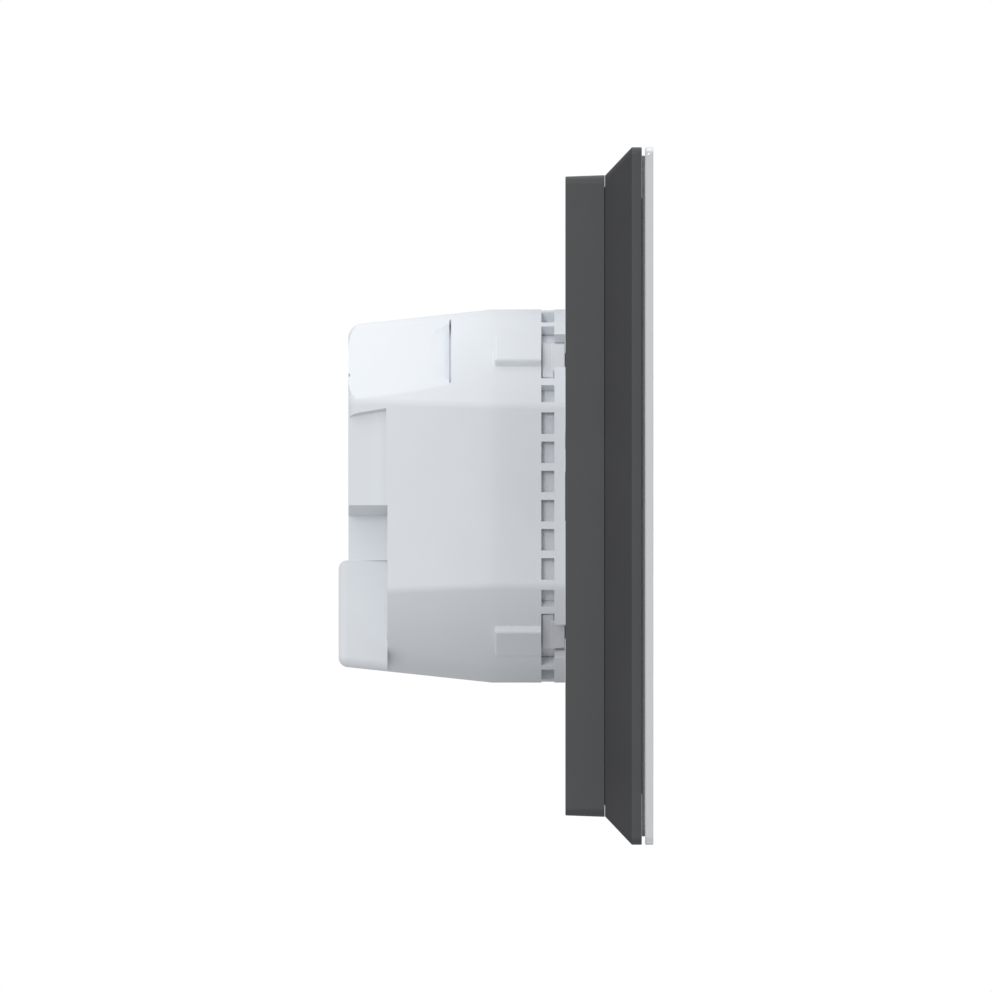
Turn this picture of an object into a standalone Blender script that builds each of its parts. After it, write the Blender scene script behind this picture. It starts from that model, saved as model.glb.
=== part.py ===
# Wall keypad panel: a glass-fronted touch panel that plugs onto a flush-mounted unit.
#
# Frame, in metres: X across the panel, Z up, +Y into the wall. The wall's surface is the plane
# Y = 0, and the origin is the panel's centre on it. The panel stands on the -Y side and the
# white housing sinks into the wall on the +Y side.

from math import acos, cos, pi, radians, sin, tan

import bmesh
import bpy
from mathutils import Matrix, Vector

# ---------------------------------------------------------------- driving dimensions

# Front panel, seen from the side
PANEL_SIDE = 0.100          # glass and rim, both ways
FLARE_OVERHANG = 0.004      # how far the rim stands out past the base, each side
BASE_DRAFT = 0.0002         # how much the base narrows towards the wall, each side
NECK_INSET = 0.0012         # how far the neck under the glass is set back, each side
BASE_DEPTH = 0.00563
FLARE_DEPTH = 0.00391
RIM_DEPTH = 0.00142
NECK_DEPTH = 0.00048
GLASS_THICKNESS = 0.00118
PANEL_CORNER_RADIUS = 0.0010
BASE_CORNER_RADIUS = 0.0009

# Rear cover and bezel
BASE_WALL = 0.0025
FLOOR_THICKNESS = 0.0014
TONGUE_THICKNESS = 0.0008
TONGUE_LENGTH = 0.0019
BEZEL_FLARE_WALL = 0.0030
BEZEL_FLANGE_WIDTH = 0.0070     # how far the bezel's front face reaches inwards
INNER_CORNER_RADIUS = 0.0008

# Glass carrier
SKIRT_THICKNESS = 0.0012
SKIRT_DEPTH = 0.0010

# Support ring
RING_SIDE = 0.071
RING_THICKNESS = 0.0012
RING_CORNER_RADIUS = 0.002
RING_WINDOW_X = 0.032
RING_WINDOW_Z = 0.030
BOX_SCREW_SPACING = 0.060       # standard flush-box screw spacing
BOX_SLOT_WIDTH = 0.004
BOX_SLOT_LENGTH = 0.008
RING_CORNER_HOLE = 0.0036
RING_SCREW_X = 0.0095
RING_SCREW_INSET = 0.00725      # from the housing's top to the ring screws' row

# Flush housing
HOUSING_DIAMETER = 0.0535
HOUSING_FLAT_CUT = 0.00335      # how far each flat is set in from the round wall
HOUSING_DEPTH = 0.0311
HOUSING_STRAIGHT = 0.0105       # depth over which the housing isn't tapered
HOUSING_TAPER = radians(6.1)
FLAT_TAPER = radians(8.5)
HOUSING_WALL = 0.0015
HOUSING_THICK_WALL = 0.0032     # wall behind the corner facets
HOUSING_THICKENS = 0.0130       # depth at which the wall starts to thicken
HOUSING_BACK = 0.0018
HOUSING_REAR_RADIUS = 0.0018

WINDOW_FRONT = 0.00158
WINDOW_WIDTH = 0.00186
FLAT_WINDOW_HEIGHT = 0.00307
FLAT_WINDOW_PITCH = 0.00418
FLAT_WINDOW_COUNT = 6
NARROW_WINDOWS = ((30.2, 36.5), (68.5, 80.0))       # degrees above the horizontal
HOOK_WINDOW = (39.1, 65.4)
HOOK_NOTCH = (43.6, 60.1)
CREST_WINDOW = (84.5, 95.5)

PAD_ANGLE = radians(59.5)       # direction that a pad faces
PAD_LENGTH = 0.0067
PAD_REACH = 0.00712             # along the pad's face, from its tangent point
PAD_LIFT = 0.00015
PAD_DEPTH = 0.0014

FACET_ANGLE = radians(57.4)
FACET_LENGTH = 0.0146
FACET_CUT = 0.0015              # depth of the facet below the round wall
FACET_HALF_WIDTH = 0.0092

# Terminal compartment at the lower rear
TERMINAL_BAY_DEPTH = 0.0056     # from the housing's back to the compartment's floor
TERMINAL_TOP = -0.0092          # height of the compartment's ceiling
COVER_PROUD = 0.0014            # how far the cover stands out past the housing's back
COVER_WALL = 0.0012
COVER_REAR_RADIUS = 0.0012
COVER_CORNER_RADIUS = 0.0015    # along the cover's two lower edges
COVER_SIDE_GAP = 0.0004         # from the terminal block to the cover's side walls
SIDE_RECESS = 0.0012            # shallow recess in each flat, beside the compartment
GRIP_RECESS = 0.0080            # deep finger grip below it, down to the compartment
SIDE_RECESS_TOP = 0.0120
GRIP_TOP = -0.0013
CABLE_SLOT_Z = 0.0050
LATCH_X = 0.0050                # from the middle to each latch
LATCH_DROP = 0.0014             # from the terminal block's underside to a latch's middle
LATCH_WIDTH = 0.0030
LATCH_HEIGHT = 0.0010
LATCH_LENGTH = 0.0071

# Terminal block
POLES = 4
POLE_PITCH = 0.00508
BLOCK_MARGIN = 0.00085          # block past the outer poles' pitch, each side
BLOCK_HEIGHT = 0.0080
BLOCK_DEPTH = 0.0050
ENTRY_SIDE = 0.0036
CLAMP_SIDE = 0.0031
CLAMP_DEPTH = 0.0024
CLAMP_BORE = 0.0021
TERMINAL_SCREW_HEAD = 0.0030
TERMINAL_SCREW_SHANK = 0.0018
TERMINAL_SCREW_HEAD_HEIGHT = 0.0010
TERMINAL_SCREW_RECESS = (0.0022, 0.0005, 0.0006)
SCREW_ROW_SHARE = 0.27          # rows' heights, as shares of the block's height from its top
ENTRY_ROW_SHARE = 0.73

# Inner carrier
CARRIER_PLATE = 0.0012
CARRIER_SKIRT = 0.0012
CARRIER_DEPTH = 0.0062
BOSS_DIAMETER = 0.0046
HOOK_PROUD = 0.0011             # how far a snap hook stands out past the skirt
HOOK_WIDTH = 0.0062

# Boards inside the housing
BOARD_THICKNESS = 0.0010
INTERFACE_BOARD_Y = 0.0048
RIB_HEIGHT = 0.0019             # ribs on the bulkhead that the power board sits on
RIB_X = 0.0125
RIB_WIDTH = 0.0030
RIB_NEAR = 0.0120               # a rib's two ends, from the housing's middle
RIB_FAR = 0.0150
BOARD_LINK_Z = -0.0155

# Parts on the power board
TRANSFORMER_PLACE = (-0.00975, 0.0035)      # middle, across and up
TRANSFORMER_CORE = (0.0135, 0.0110, 0.0130)
WINDING_INSET_X = 0.0020
WINDING_INSET_Y = 0.0015
WINDING_PROUD = 0.0015
CAPACITOR_PLACE = (0.0095, 0.0095)
CAPACITOR_DIAMETER = 0.0080
CAPACITOR_HEIGHT = 0.0115
CAPACITOR_GROOVE = 0.0004
CAPACITOR_FOOT = 0.0018
CHOKE_PLACE = (0.0105, -0.0050)
CHOKE_DIAMETER = 0.0076
CHOKE_WAIST = 0.0060
CHOKE_HEIGHT = 0.0080
CHOKE_FLANGE = 0.0012

# Plug between the two units
PLUG_X = 0.018
PLUG_Z = 0.007
PLUG_WALL = 0.0007
PLUG_PROUD = 0.0015             # how far the plug's shroud stands out of the wall
PIN_COUNT = 6
PIN_PITCH = 0.00254
PIN_SIDE = 0.00064
PIN_PROUD = 0.0008
SOCKET_REACH = 0.0016           # how far the socket reaches into the wall

# Panel electronics
STANDOFF = 0.0016
STANDOFF_DIAMETER = 0.0050
MAIN_BOARD_THICKNESS = 0.0010
TOUCH_BOARD_THICKNESS = 0.0008
FILM_THICKNESS = 0.0002
COMPONENT_ROOM = 0.0018         # room in front of the main board, under the light guide
BOARD_SCREW_INSET = 0.0115      # from the cavity's wall to a board screw
PROCESSOR_PLACE = (0.0, -0.012)
PROCESSOR_SIZE = (0.010, 0.010)
PROCESSOR_HEIGHT = 0.0012
RADIO_PLACE = (-0.0355, 0.0205)
RADIO_SIZE = (0.011, 0.014)
RADIO_HEIGHT = 0.0020
BUZZER_PLACE = (0.0350, 0.0210)
BUZZER_RADIUS = 0.0052
BUZZER_HEIGHT = 0.0030
BUZZER_PORT = 0.0010             # radius and depth of the sound hole
COMPONENT_CHAMFER = 0.2          # share of a part's height
CASE_SCREW_INSET = 0.004        # from the cavity's wall to a corner screw

# Keypad
KEY_COLUMNS = 3
KEY_ROWS = 4
KEY_PITCH_X = 0.021
KEY_PITCH_Z = 0.0145
KEYPAD_CENTRE_Z = -0.01275
WELL_X = 0.012
WELL_Z = 0.010
LIGHT_GUIDE_BORDER = 0.0022
TOUCH_HOLE = 0.006

# Display
DISPLAY_X = 0.050
DISPLAY_Z = 0.020
DISPLAY_CENTRE_Z = 0.0275
DISPLAY_THICKNESS = 0.0026
DISPLAY_VIEW_BORDER = 0.002
HOLDER_BORDER = 0.0008
HOLDER_THICKNESS = 0.0006
RIBBON_WIDTH = 0.012
RIBBON_THICKNESS = 0.00015
HOLDER_LEG = 0.0020

# Tamper switch and set-up button, on the panel's right, clear of the support ring
TAMPER_Z = 0.008
TAMPER_PROUD = 0.0015           # how far the plunger stands out behind the wall plane
TAMPER_SWITCH_SIDE = 0.006
TAMPER_SWITCH_DEPTH = 0.0037
PLUNGER_RADIUS = 0.0013
PLUNGER_FLANGE_RADIUS = 0.0021
SPRING_RADIUS = 0.0016
SPRING_WIRE = 0.0003
SPRING_TURNS = 5
SPRING_STEPS = 12                # points per turn
PLUNGER_FLANGE = 0.0006
PLUNGER_TAIL = 0.0008
BUTTON_Z = -0.010
BUTTON_RADIUS = 0.0011
BUTTON_FLANGE_RADIUS = 0.0016
BUTTON_SWITCH_SIDE = 0.0046
BUTTON_SWITCH_DEPTH = 0.0013
BUTTON_PROUD = 0.0005
BUTTON_FLANGE = 0.0004

# Spring clips that hold the panel on the support ring
CLIP_WIDTH = 0.006
CLIP_SHEET = 0.0003
CLIP_GAP = 0.0006               # between the clip's nose and the ring's edge
CLIP_NOSE = 0.0013              # how far the nose bends in from the leg
CLIP_FOOT = 0.0032
CLIP_LEAD = 0.0001              # the leg bends this far in front of the ring
CLIP_NOSE_SHARE = 0.75          # how far in front of the wall, as a share of the ring's thickness
CLIP_TIP_SHARE = 0.3
CLIP_FLICK = 0.0007             # outward bend at the tip

# Screws
CASE_SCREW_SHANK = 0.0021
CASE_SCREW_HEAD = 0.0046
CASE_SCREW_HEAD_HEIGHT = 0.0012
CASE_SCREW_REACH = 0.0028       # length in the bezel's corner block
CASE_SCREW_ROUNDING = 0.0004
CASE_SCREW_RECESS = (0.0026, 0.0006, 0.0008)
BOARD_SCREW_SHANK = 0.0017
BOARD_SCREW_HEAD = 0.0038
BOARD_SCREW_HEAD_HEIGHT = 0.0011
BOARD_SCREW_RECESS = (0.0022, 0.0005, 0.0006)       # length, width, depth
RING_SCREW_SHANK = 0.0019
RING_SCREW_HEAD = 0.0042
RING_SCREW_REACH = 0.0030
RING_SCREW_RECESS = (0.0024, 0.0005, 0.0007)

# Clearances
SEAM = 0.00005                  # visible parting line between two shells
SLIP = 0.0003                   # general running clearance between neighbours
SEAT_GAP = 0.0002               # between pieces that bear on each other
GLUE_GAP = 0.00006              # bonded faces of the glass carrier
HOLE_CLEARANCE = 0.00025        # radial, screw in hole
OVERLAP = 0.0004                # how far joined shapes sink into each other
PAST = 0.002                    # how far a cutter reaches past the material

# Smoothness
ARC_STEPS = 18                  # along each round side of the housing
CORNER_STEPS = 3
ROUND_SIDES = 16
SCREW_SIDES = 12
SHARP_ANGLE = radians(32)

# ---------------------------------------------------------------- sizes that follow

BASE_HALF = PANEL_SIDE / 2 - FLARE_OVERHANG
CAVITY_HALF = BASE_HALF - BASE_WALL
TONGUE_HALF = CAVITY_HALF + TONGUE_THICKNESS
BEZEL_HALF = TONGUE_HALF + SLIP
NECK_HALF = PANEL_SIDE / 2 - NECK_INSET
OPENING_HALF = PANEL_SIDE / 2 - BEZEL_FLANGE_WIDTH
SKIRT_HALF = OPENING_HALF - SLIP
CARRIER_OPENING = SKIRT_HALF - SKIRT_THICKNESS
SENSOR_HALF = CARRIER_OPENING - SLIP

BASE_FRONT = -BASE_DEPTH
FLARE_FRONT = BASE_FRONT - FLARE_DEPTH
RIM_FRONT = FLARE_FRONT - RIM_DEPTH
NECK_FRONT = RIM_FRONT - NECK_DEPTH
GLASS_FRONT = NECK_FRONT - GLASS_THICKNESS

FLOOR_REAR = -(RING_THICKNESS + 2 * SLIP)
FLOOR_FRONT = FLOOR_REAR - FLOOR_THICKNESS
MAIN_BOARD_REAR = FLOOR_FRONT - STANDOFF
MAIN_BOARD_FRONT = MAIN_BOARD_REAR - MAIN_BOARD_THICKNESS
FILM_FRONT = NECK_FRONT + SLIP
FILM_REAR = FILM_FRONT + FILM_THICKNESS
TOUCH_FRONT = FILM_REAR + SEAT_GAP
TOUCH_REAR = TOUCH_FRONT + TOUCH_BOARD_THICKNESS
LIGHT_FRONT = TOUCH_REAR + SEAT_GAP
LIGHT_REAR = MAIN_BOARD_FRONT - COMPONENT_ROOM
SKIRT_REAR = RIM_FRONT + SKIRT_DEPTH
BLOCK_FRONT = SKIRT_REAR + SLIP             # front end of the bezel's corner blocks
BLOCK_REAR = MAIN_BOARD_FRONT - SLIP
CLIP_LINE = RING_SIDE / 2 + CLIP_GAP + CLIP_NOSE        # distance from the centre to a clip's leg
KEYPAD_TOP = KEYPAD_CENTRE_Z + ((KEY_ROWS - 1) * KEY_PITCH_Z + WELL_Z) / 2 + LIGHT_GUIDE_BORDER
KEYPAD_BOTTOM = 2 * KEYPAD_CENTRE_Z - KEYPAD_TOP
LIGHT_GUIDE_HALF_X = ((KEY_COLUMNS - 1) * KEY_PITCH_X + WELL_X) / 2 + LIGHT_GUIDE_BORDER

CASE_SCREW_PLACE = CAVITY_HALF - CASE_SCREW_INSET
BOARD_SCREW_PLACE = CAVITY_HALF - BOARD_SCREW_INSET
SWITCH_X = CASE_SCREW_PLACE
HOUSING_RADIUS = HOUSING_DIAMETER / 2
HOUSING_FLAT = HOUSING_RADIUS - HOUSING_FLAT_CUT
RING_SCREW_Z = HOUSING_RADIUS - RING_SCREW_INSET
FACET_START = HOUSING_DEPTH - FACET_LENGTH
TERMINAL_STEP = HOUSING_DEPTH - TERMINAL_BAY_DEPTH
TERMINAL_COVER_DEPTH = HOUSING_DEPTH + COVER_PROUD
CARRIER_INSET = HOUSING_WALL + SLIP
INTERFACE_INSET = CARRIER_INSET + CARRIER_SKIRT + SLIP
BULKHEAD_FRONT = TERMINAL_STEP - HOUSING_BACK
BAY_WALL_X = (
    HOUSING_FLAT - tan(FLAT_TAPER) * (HOUSING_DEPTH - HOUSING_STRAIGHT) - GRIP_RECESS - HOUSING_WALL
)                               # inner face of the walls behind the finger grips
COVER_FRONT = TERMINAL_STEP + SEAT_GAP
POWER_BOARD_Y = BULKHEAD_FRONT - RIB_HEIGHT - SEAT_GAP - BOARD_THICKNESS
BLOCK_HALF_X = POLES * POLE_PITCH / 2 + BLOCK_MARGIN
CABLE_SLOT_X = POLES * POLE_PITCH
COVER_HALF_X = BLOCK_HALF_X + COVER_SIDE_GAP + COVER_WALL
COVER_TOP = TERMINAL_TOP - SEAT_GAP
BLOCK_TOP = TERMINAL_TOP - SEAT_GAP - COVER_WALL - SEAT_GAP
BLOCK_START = COVER_FRONT + SEAT_GAP
BLOCK_REAR_FACE = BLOCK_START + BLOCK_DEPTH
LATCH_Z = BLOCK_TOP - BLOCK_HEIGHT - LATCH_DROP
SCREW_ROW_Z = BLOCK_TOP - BLOCK_HEIGHT * SCREW_ROW_SHARE
ENTRY_ROW_Z = BLOCK_TOP - BLOCK_HEIGHT * ENTRY_ROW_SHARE


# ---------------------------------------------------------------- scene and helpers

for old in list(bpy.data.objects):
    bpy.data.objects.remove(old, do_unlink=True)


def make_collection(name):
    group = bpy.data.collections.new(name)
    bpy.context.scene.collection.children.link(group)
    return group


PARTS = make_collection("keypad_panel")
CUTTERS = make_collection("cutters")


def make_material(name, colour, roughness, metallic=0.0):
    made = bpy.data.materials.new(name)
    made.use_nodes = True
    shader = made.node_tree.nodes["Principled BSDF"]
    shader.inputs["Base Color"].default_value = (*colour, 1.0)
    shader.inputs["Roughness"].default_value = roughness
    shader.inputs["Metallic"].default_value = metallic
    return made


WHITE_PLASTIC = make_material("white_plastic", (0.66, 0.68, 0.70), 0.45)
GREY_PLASTIC = make_material("grey_plastic", (0.075, 0.08, 0.082), 0.5)
BLACK_PLASTIC = make_material("black_plastic", (0.02, 0.02, 0.022), 0.5)
PALE_PLASTIC = make_material("pale_plastic", (0.55, 0.56, 0.55), 0.6)
BACKED_GLASS = make_material("backed_glass", (0.62, 0.64, 0.65), 0.08)
PRINTED_FILM = make_material("printed_film", (0.7, 0.7, 0.7), 0.5)
BOARD_GREEN = make_material("board_green", (0.02, 0.12, 0.05), 0.45)
CHIP_BLACK = make_material("chip_black", (0.015, 0.015, 0.016), 0.4)
ZINC_STEEL = make_material("zinc_steel", (0.6, 0.6, 0.62), 0.35, 1.0)
SPRING_STEEL = make_material("spring_steel", (0.5, 0.5, 0.52), 0.25, 1.0)
BRASS = make_material("brass", (0.72, 0.5, 0.2), 0.3, 1.0)
COPPER_WINDING = make_material("copper_winding", (0.6, 0.28, 0.1), 0.4, 0.6)
CAN_ALUMINIUM = make_material("can_aluminium", (0.7, 0.7, 0.72), 0.3, 1.0)
FLEX_AMBER = make_material("flex_amber", (0.45, 0.2, 0.03), 0.35)


def make_origin(name, place=(0.0, 0.0, 0.0), parent=None):
    """An empty that a group of pieces moves with."""
    empty = bpy.data.objects.new(name, None)
    empty.empty_display_size = 0.01
    empty.parent = parent
    empty.location = Vector(place) - (parent.location if parent else Vector())
    PARTS.objects.link(empty)
    return empty


WALL_UNIT = make_origin("wall_unit_origin")
PANEL = make_origin("front_panel_origin")


def mesh_from(bm, name):
    """Turn a bmesh into a mesh with its faces pointing out."""
    bmesh.ops.recalc_face_normals(bm, faces=bm.faces)
    mesh = bpy.data.meshes.new(name)
    bm.to_mesh(mesh)
    bm.free()
    return mesh


def smooth(mesh):
    mesh.shade_smooth()
    mesh.set_sharp_from_angle(angle=SHARP_ANGLE)


def add_piece(name, mesh, material, parent, place=(0.0, 0.0, 0.0)):
    """Link a sub-part, with its own material, under the empty it moves with."""
    piece = bpy.data.objects.new(name, mesh)
    if not mesh.materials:
        mesh.materials.append(material)
    piece.parent = parent
    piece.location = place
    PARTS.objects.link(piece)
    return piece


def add_tool(name, bm):
    """Link a shape that only cuts or joins other shapes."""
    shape = bpy.data.objects.new(name, mesh_from(bm, name))
    shape.hide_render = True
    shape.display_type = "WIRE"
    CUTTERS.objects.link(shape)
    return shape


def combine(piece, shape, operation):
    step = piece.modifiers.new(f"{operation.lower()}_{shape.name}", "BOOLEAN")
    step.operation = operation
    step.object = shape
    step.solver = "EXACT"


def cut(piece, name, bm):
    combine(piece, add_tool(f"{piece.name}_{name}", bm), "DIFFERENCE")


def join(piece, name, bm):
    combine(piece, add_tool(f"{piece.name}_{name}", bm), "UNION")


def add_box(bm, low, high, turned_by=Matrix.Identity(4)):
    """Add a box from its lowest to its highest corner."""
    low, high = Vector(low), Vector(high)
    fit = Matrix.Translation((low + high) / 2) @ Matrix.Diagonal((*(high - low), 1.0))
    return bmesh.ops.create_cube(bm, size=1.0, matrix=turned_by @ fit)["verts"]


def box(low, high, turned_by=Matrix.Identity(4)):
    bm = bmesh.new()
    add_box(bm, low, high, turned_by)
    return bm


def add_rod(bm, x, z, radius, y_low, y_high, sides=ROUND_SIDES, radius_high=None):
    """Add a round bar along Y, or a cone if its high end has its own radius."""
    middle = Vector((x, (y_low + y_high) / 2, z))
    bmesh.ops.create_cone(
        bm,
        cap_ends=True,
        segments=sides,
        radius1=radius,
        radius2=radius if radius_high is None else radius_high,
        depth=y_high - y_low,
        matrix=Matrix.Translation(middle) @ Matrix.Rotation(-pi / 2, 4, "X"),
    )


def rods(places, radius, y_low, y_high, sides=ROUND_SIDES, radius_high=None):
    bm = bmesh.new()
    for x, z in places:
        add_rod(bm, x, z, radius, y_low, y_high, sides, radius_high)
    return bm


def plate(half_x, half_z, y_low, y_high, radius, middle_z=0.0):
    """A flat plate facing along Y, with its four corners rounded."""
    bm = box((-half_x, y_low, middle_z - half_z), (half_x, y_high, middle_z + half_z))
    upright = [edge for edge in bm.edges if abs(edge.verts[0].co.y - edge.verts[1].co.y) > 1e-6]
    bmesh.ops.bevel(
        bm, geom=upright, offset=radius, segments=CORNER_STEPS, profile=0.5, affect="EDGES"
    )
    return bm


def slot(x, z, width, length, upright, y_low, y_high):
    """A cutter for a straight slot with round ends."""
    half_x, half_z = (width / 2, length / 2) if upright else (length / 2, width / 2)
    bm = plate(half_x, half_z, y_low, y_high, width / 2 - 1e-5, z)
    bmesh.ops.translate(bm, verts=bm.verts, vec=(x, 0.0, 0.0))
    return bm


def loft(loops):
    """Skin a row of closed outlines that all have the same number of points, and cap both ends."""
    bm = bmesh.new()
    rings = [[bm.verts.new(point) for point in loop] for loop in loops]
    for ring, following in zip(rings, rings[1:]):
        for i in range(len(ring)):
            j = (i + 1) % len(ring)
            bm.faces.new((ring[i], ring[j], following[j], following[i]))
    bm.faces.new(rings[0])
    bm.faces.new(rings[-1])
    return bm


def square_loop(half, y, radius):
    """A square outline with rounded corners, at one depth."""
    points = []
    for corner in range(4):
        across = Vector((cos(pi / 4 + corner * pi / 2), sin(pi / 4 + corner * pi / 2)))
        centre_x = (half - radius) * (1 if across.x > 0 else -1)
        centre_z = (half - radius) * (1 if across.y > 0 else -1)
        for step in range(CORNER_STEPS + 1):
            angle = (corner + step / CORNER_STEPS) * pi / 2
            points.append(Vector((centre_x + radius * cos(angle), y, centre_z + radius * sin(angle))))
    return points


def square_loft(sections, radius):
    return loft([square_loop(half, y, radius) for half, y in sections])


def square_block(half, start, end):
    return square_loft([(half, start), (half, end)], INNER_CORNER_RADIUS)


def housing_radius(y):
    return HOUSING_RADIUS - tan(HOUSING_TAPER) * max(0.0, y - HOUSING_STRAIGHT)


def housing_flat(y):
    return HOUSING_FLAT - tan(FLAT_TAPER) * max(0.0, y - HOUSING_STRAIGHT)


def housing_loop(y, shape_y, inset):
    """The housing's outline at depth shape_y, drawn in by inset and placed at depth y."""
    radius = housing_radius(shape_y) - inset
    flat = housing_flat(shape_y) - inset
    crease = acos(flat / radius)
    points = []
    for start in (crease, pi + crease):
        for step in range(ARC_STEPS + 1):
            angle = start + (pi - 2 * crease) * step / ARC_STEPS
            points.append(Vector((radius * cos(angle), y, radius * sin(angle))))
    return points


def housing_form(front, rear, rear_radius):
    """The housing's outer form between two depths, with a rounded rear edge."""
    levels = [(front, 0.0)]
    if front < HOUSING_STRAIGHT:
        levels.append((HOUSING_STRAIGHT, 0.0))
    for step in range(CORNER_STEPS + 1):
        angle = step / CORNER_STEPS * pi / 2
        levels.append((rear - rear_radius * (1 - sin(angle)), rear_radius * (1 - cos(angle))))
    return loft([housing_loop(y, y, more) for y, more in levels])


def housing_disc(y_low, y_high, inset):
    """A board or plate that fits the housing's outline at its own rear face."""
    return loft([housing_loop(y, y_high, inset) for y in (y_low, y_high)])


def four_ways(x, z):
    return [(x, z), (-x, z), (-x, -z), (x, -z)]


def turned(name, profile, material, parent, place, faces_front):
    """A turned piece. Its profile runs from its tip, on the axis, down its outer side."""
    bm = bmesh.new()
    line = [bm.verts.new((radius, 0.0, height)) for radius, height in profile]
    for start, end in zip(line, line[1:]):
        bm.edges.new((start, end))
    mesh = bpy.data.meshes.new(name)
    bm.to_mesh(mesh)
    bm.free()
    piece = add_piece(name, mesh, material, parent, place)
    piece.rotation_euler = (pi / 2 if faces_front else -pi / 2, 0.0, 0.0)
    spin = piece.modifiers.new("turn", "SCREW")
    spin.steps = spin.render_steps = SCREW_SIDES
    spin.use_merge_vertices = True
    spin.merge_threshold = 1e-6
    return piece


def baked(piece):
    """Take a piece's evaluated mesh and drop the piece."""
    shape = piece.evaluated_get(bpy.context.evaluated_depsgraph_get())
    mesh = bpy.data.meshes.new_from_object(shape)
    bpy.data.objects.remove(piece, do_unlink=True)
    return mesh


def screw_mesh(name, profile, recess, material):
    """A screw with its head up and a cross recess in the head."""
    pattern = turned(f"{name}_pattern", profile, material, None, (0.0, 0.0, 0.0), True)
    pattern.rotation_euler = (0.0, 0.0, 0.0)
    length, width, depth = recess
    top = profile[0][1]
    for long_x, long_y in ((length, width), (width, length)):
        low = (-long_x / 2, -long_y / 2, top - depth)
        high = (long_x / 2, long_y / 2, top + PAST)
        cut(pattern, f"recess_{'x' if long_x > long_y else 'y'}", box(low, high))
    mesh = baked(pattern)
    smooth(mesh)
    mesh.name = name
    return mesh


def place_screws(name, mesh, material, parent, places, y, faces_front):
    """Copies of one screw, each its own piece."""
    for number, (x, z) in enumerate(places, 1):
        piece = add_piece(f"{name}_{number}", mesh, material, parent, (x, y, z))
        piece.rotation_euler = (pi / 2 if faces_front else -pi / 2, 0.0, 0.0)


# ---------------------------------------------------------------- flush housing

def window_box(bm, middle, half_angle, y_low, y_high):
    """One opening through the round wall, centred on an angle about the housing's axis."""
    half_width = HOUSING_RADIUS * sin(half_angle)
    low = (HOUSING_RADIUS - HOUSING_WALL - OVERLAP * 2, y_low, -half_width)
    high = (HOUSING_RADIUS + PAST, y_high, half_width)
    add_box(bm, low, high, Matrix.Rotation(-middle, 4, "Y"))


def all_round(bm, span, y_low, y_high):
    """The same opening in all four quarters of the housing."""
    middle, half = radians(sum(span) / 2), radians(span[1] - span[0]) / 2
    for angle in (middle, pi - middle, pi + middle, 2 * pi - middle):
        window_box(bm, angle, half, y_low, y_high)


def window_cutters():
    """The row of vent windows right round the housing, near the wall."""
    bm = bmesh.new()
    y_low, y_high = WINDOW_FRONT, WINDOW_FRONT + WINDOW_WIDTH
    for side in (-1, 1):
        inner = side * (HOUSING_FLAT - HOUSING_WALL - OVERLAP * 2)
        outer = side * (HOUSING_FLAT + PAST)
        for row in range(FLAT_WINDOW_COUNT):
            z = (row - (FLAT_WINDOW_COUNT - 1) / 2) * FLAT_WINDOW_PITCH
            low = (min(inner, outer), y_low, z - FLAT_WINDOW_HEIGHT / 2)
            high = (max(inner, outer), y_high, z + FLAT_WINDOW_HEIGHT / 2)
            add_box(bm, low, high)
    for span in (*NARROW_WINDOWS, HOOK_WINDOW):
        all_round(bm, span, y_low, y_high)
    half_crest = radians(CREST_WINDOW[1] - CREST_WINDOW[0]) / 2
    for angle in (pi / 2, -pi / 2):
        window_box(bm, angle, half_crest, y_low, y_high)
    return bm


def notch_cutters():
    bm = bmesh.new()
    all_round(bm, HOOK_NOTCH, -PAST, WINDOW_FRONT + OVERLAP)
    return bm


def pad_shapes():
    """Four flat pads outside the snap-hook windows, each tangent to the round wall at one edge."""
    bm = bmesh.new()
    start = WINDOW_FRONT + WINDOW_WIDTH
    outer = HOUSING_RADIUS + PAD_LIFT
    for side_x in (1, -1):
        for side_z in (1, -1):
            verts = add_box(
                bm,
                (outer - PAD_DEPTH, start, -PAD_REACH),
                (outer, start + PAD_LENGTH, -SEAT_GAP),
                Matrix.Rotation(-PAD_ANGLE, 4, "Y"),
            )
            bmesh.ops.scale(bm, vec=(side_x, 1.0, side_z), verts=verts)
    return bm


def facet_cutters():
    """Shallow flat facets across the two upper rear corners, tapered with the wall."""
    bm = bmesh.new()
    distance = housing_radius(FACET_START) - FACET_CUT
    for side in (1, -1):
        place = Matrix.Translation((distance * cos(FACET_ANGLE), FACET_START, distance * sin(FACET_ANGLE)))
        lean = Matrix.Rotation(-FACET_ANGLE, 4, "Y") @ Matrix.Rotation(HOUSING_TAPER, 4, "Z")
        verts = add_box(
            bm, (0.0, 0.0, -FACET_HALF_WIDTH), (3 * PAST, HOUSING_DEPTH, FACET_HALF_WIDTH), place @ lean
        )
        bmesh.ops.scale(bm, vec=(side, 1.0, 1.0), verts=verts)
    return bm


def side_cutters(depth, top, bottom):
    """A recess in each flat, from the terminal step to the rear, parallel to the flat."""
    bm = bmesh.new()
    start = housing_flat(TERMINAL_STEP) - depth
    for side in (1, -1):
        place = Matrix.Translation((start, TERMINAL_STEP, 0.0)) @ Matrix.Rotation(FLAT_TAPER, 4, "Z")
        verts = add_box(bm, (0.0, 0.0, bottom), (depth + PAST, HOUSING_DEPTH, top), place)
        bmesh.ops.scale(bm, vec=(side, 1.0, 1.0), verts=verts)
    return bm


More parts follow.
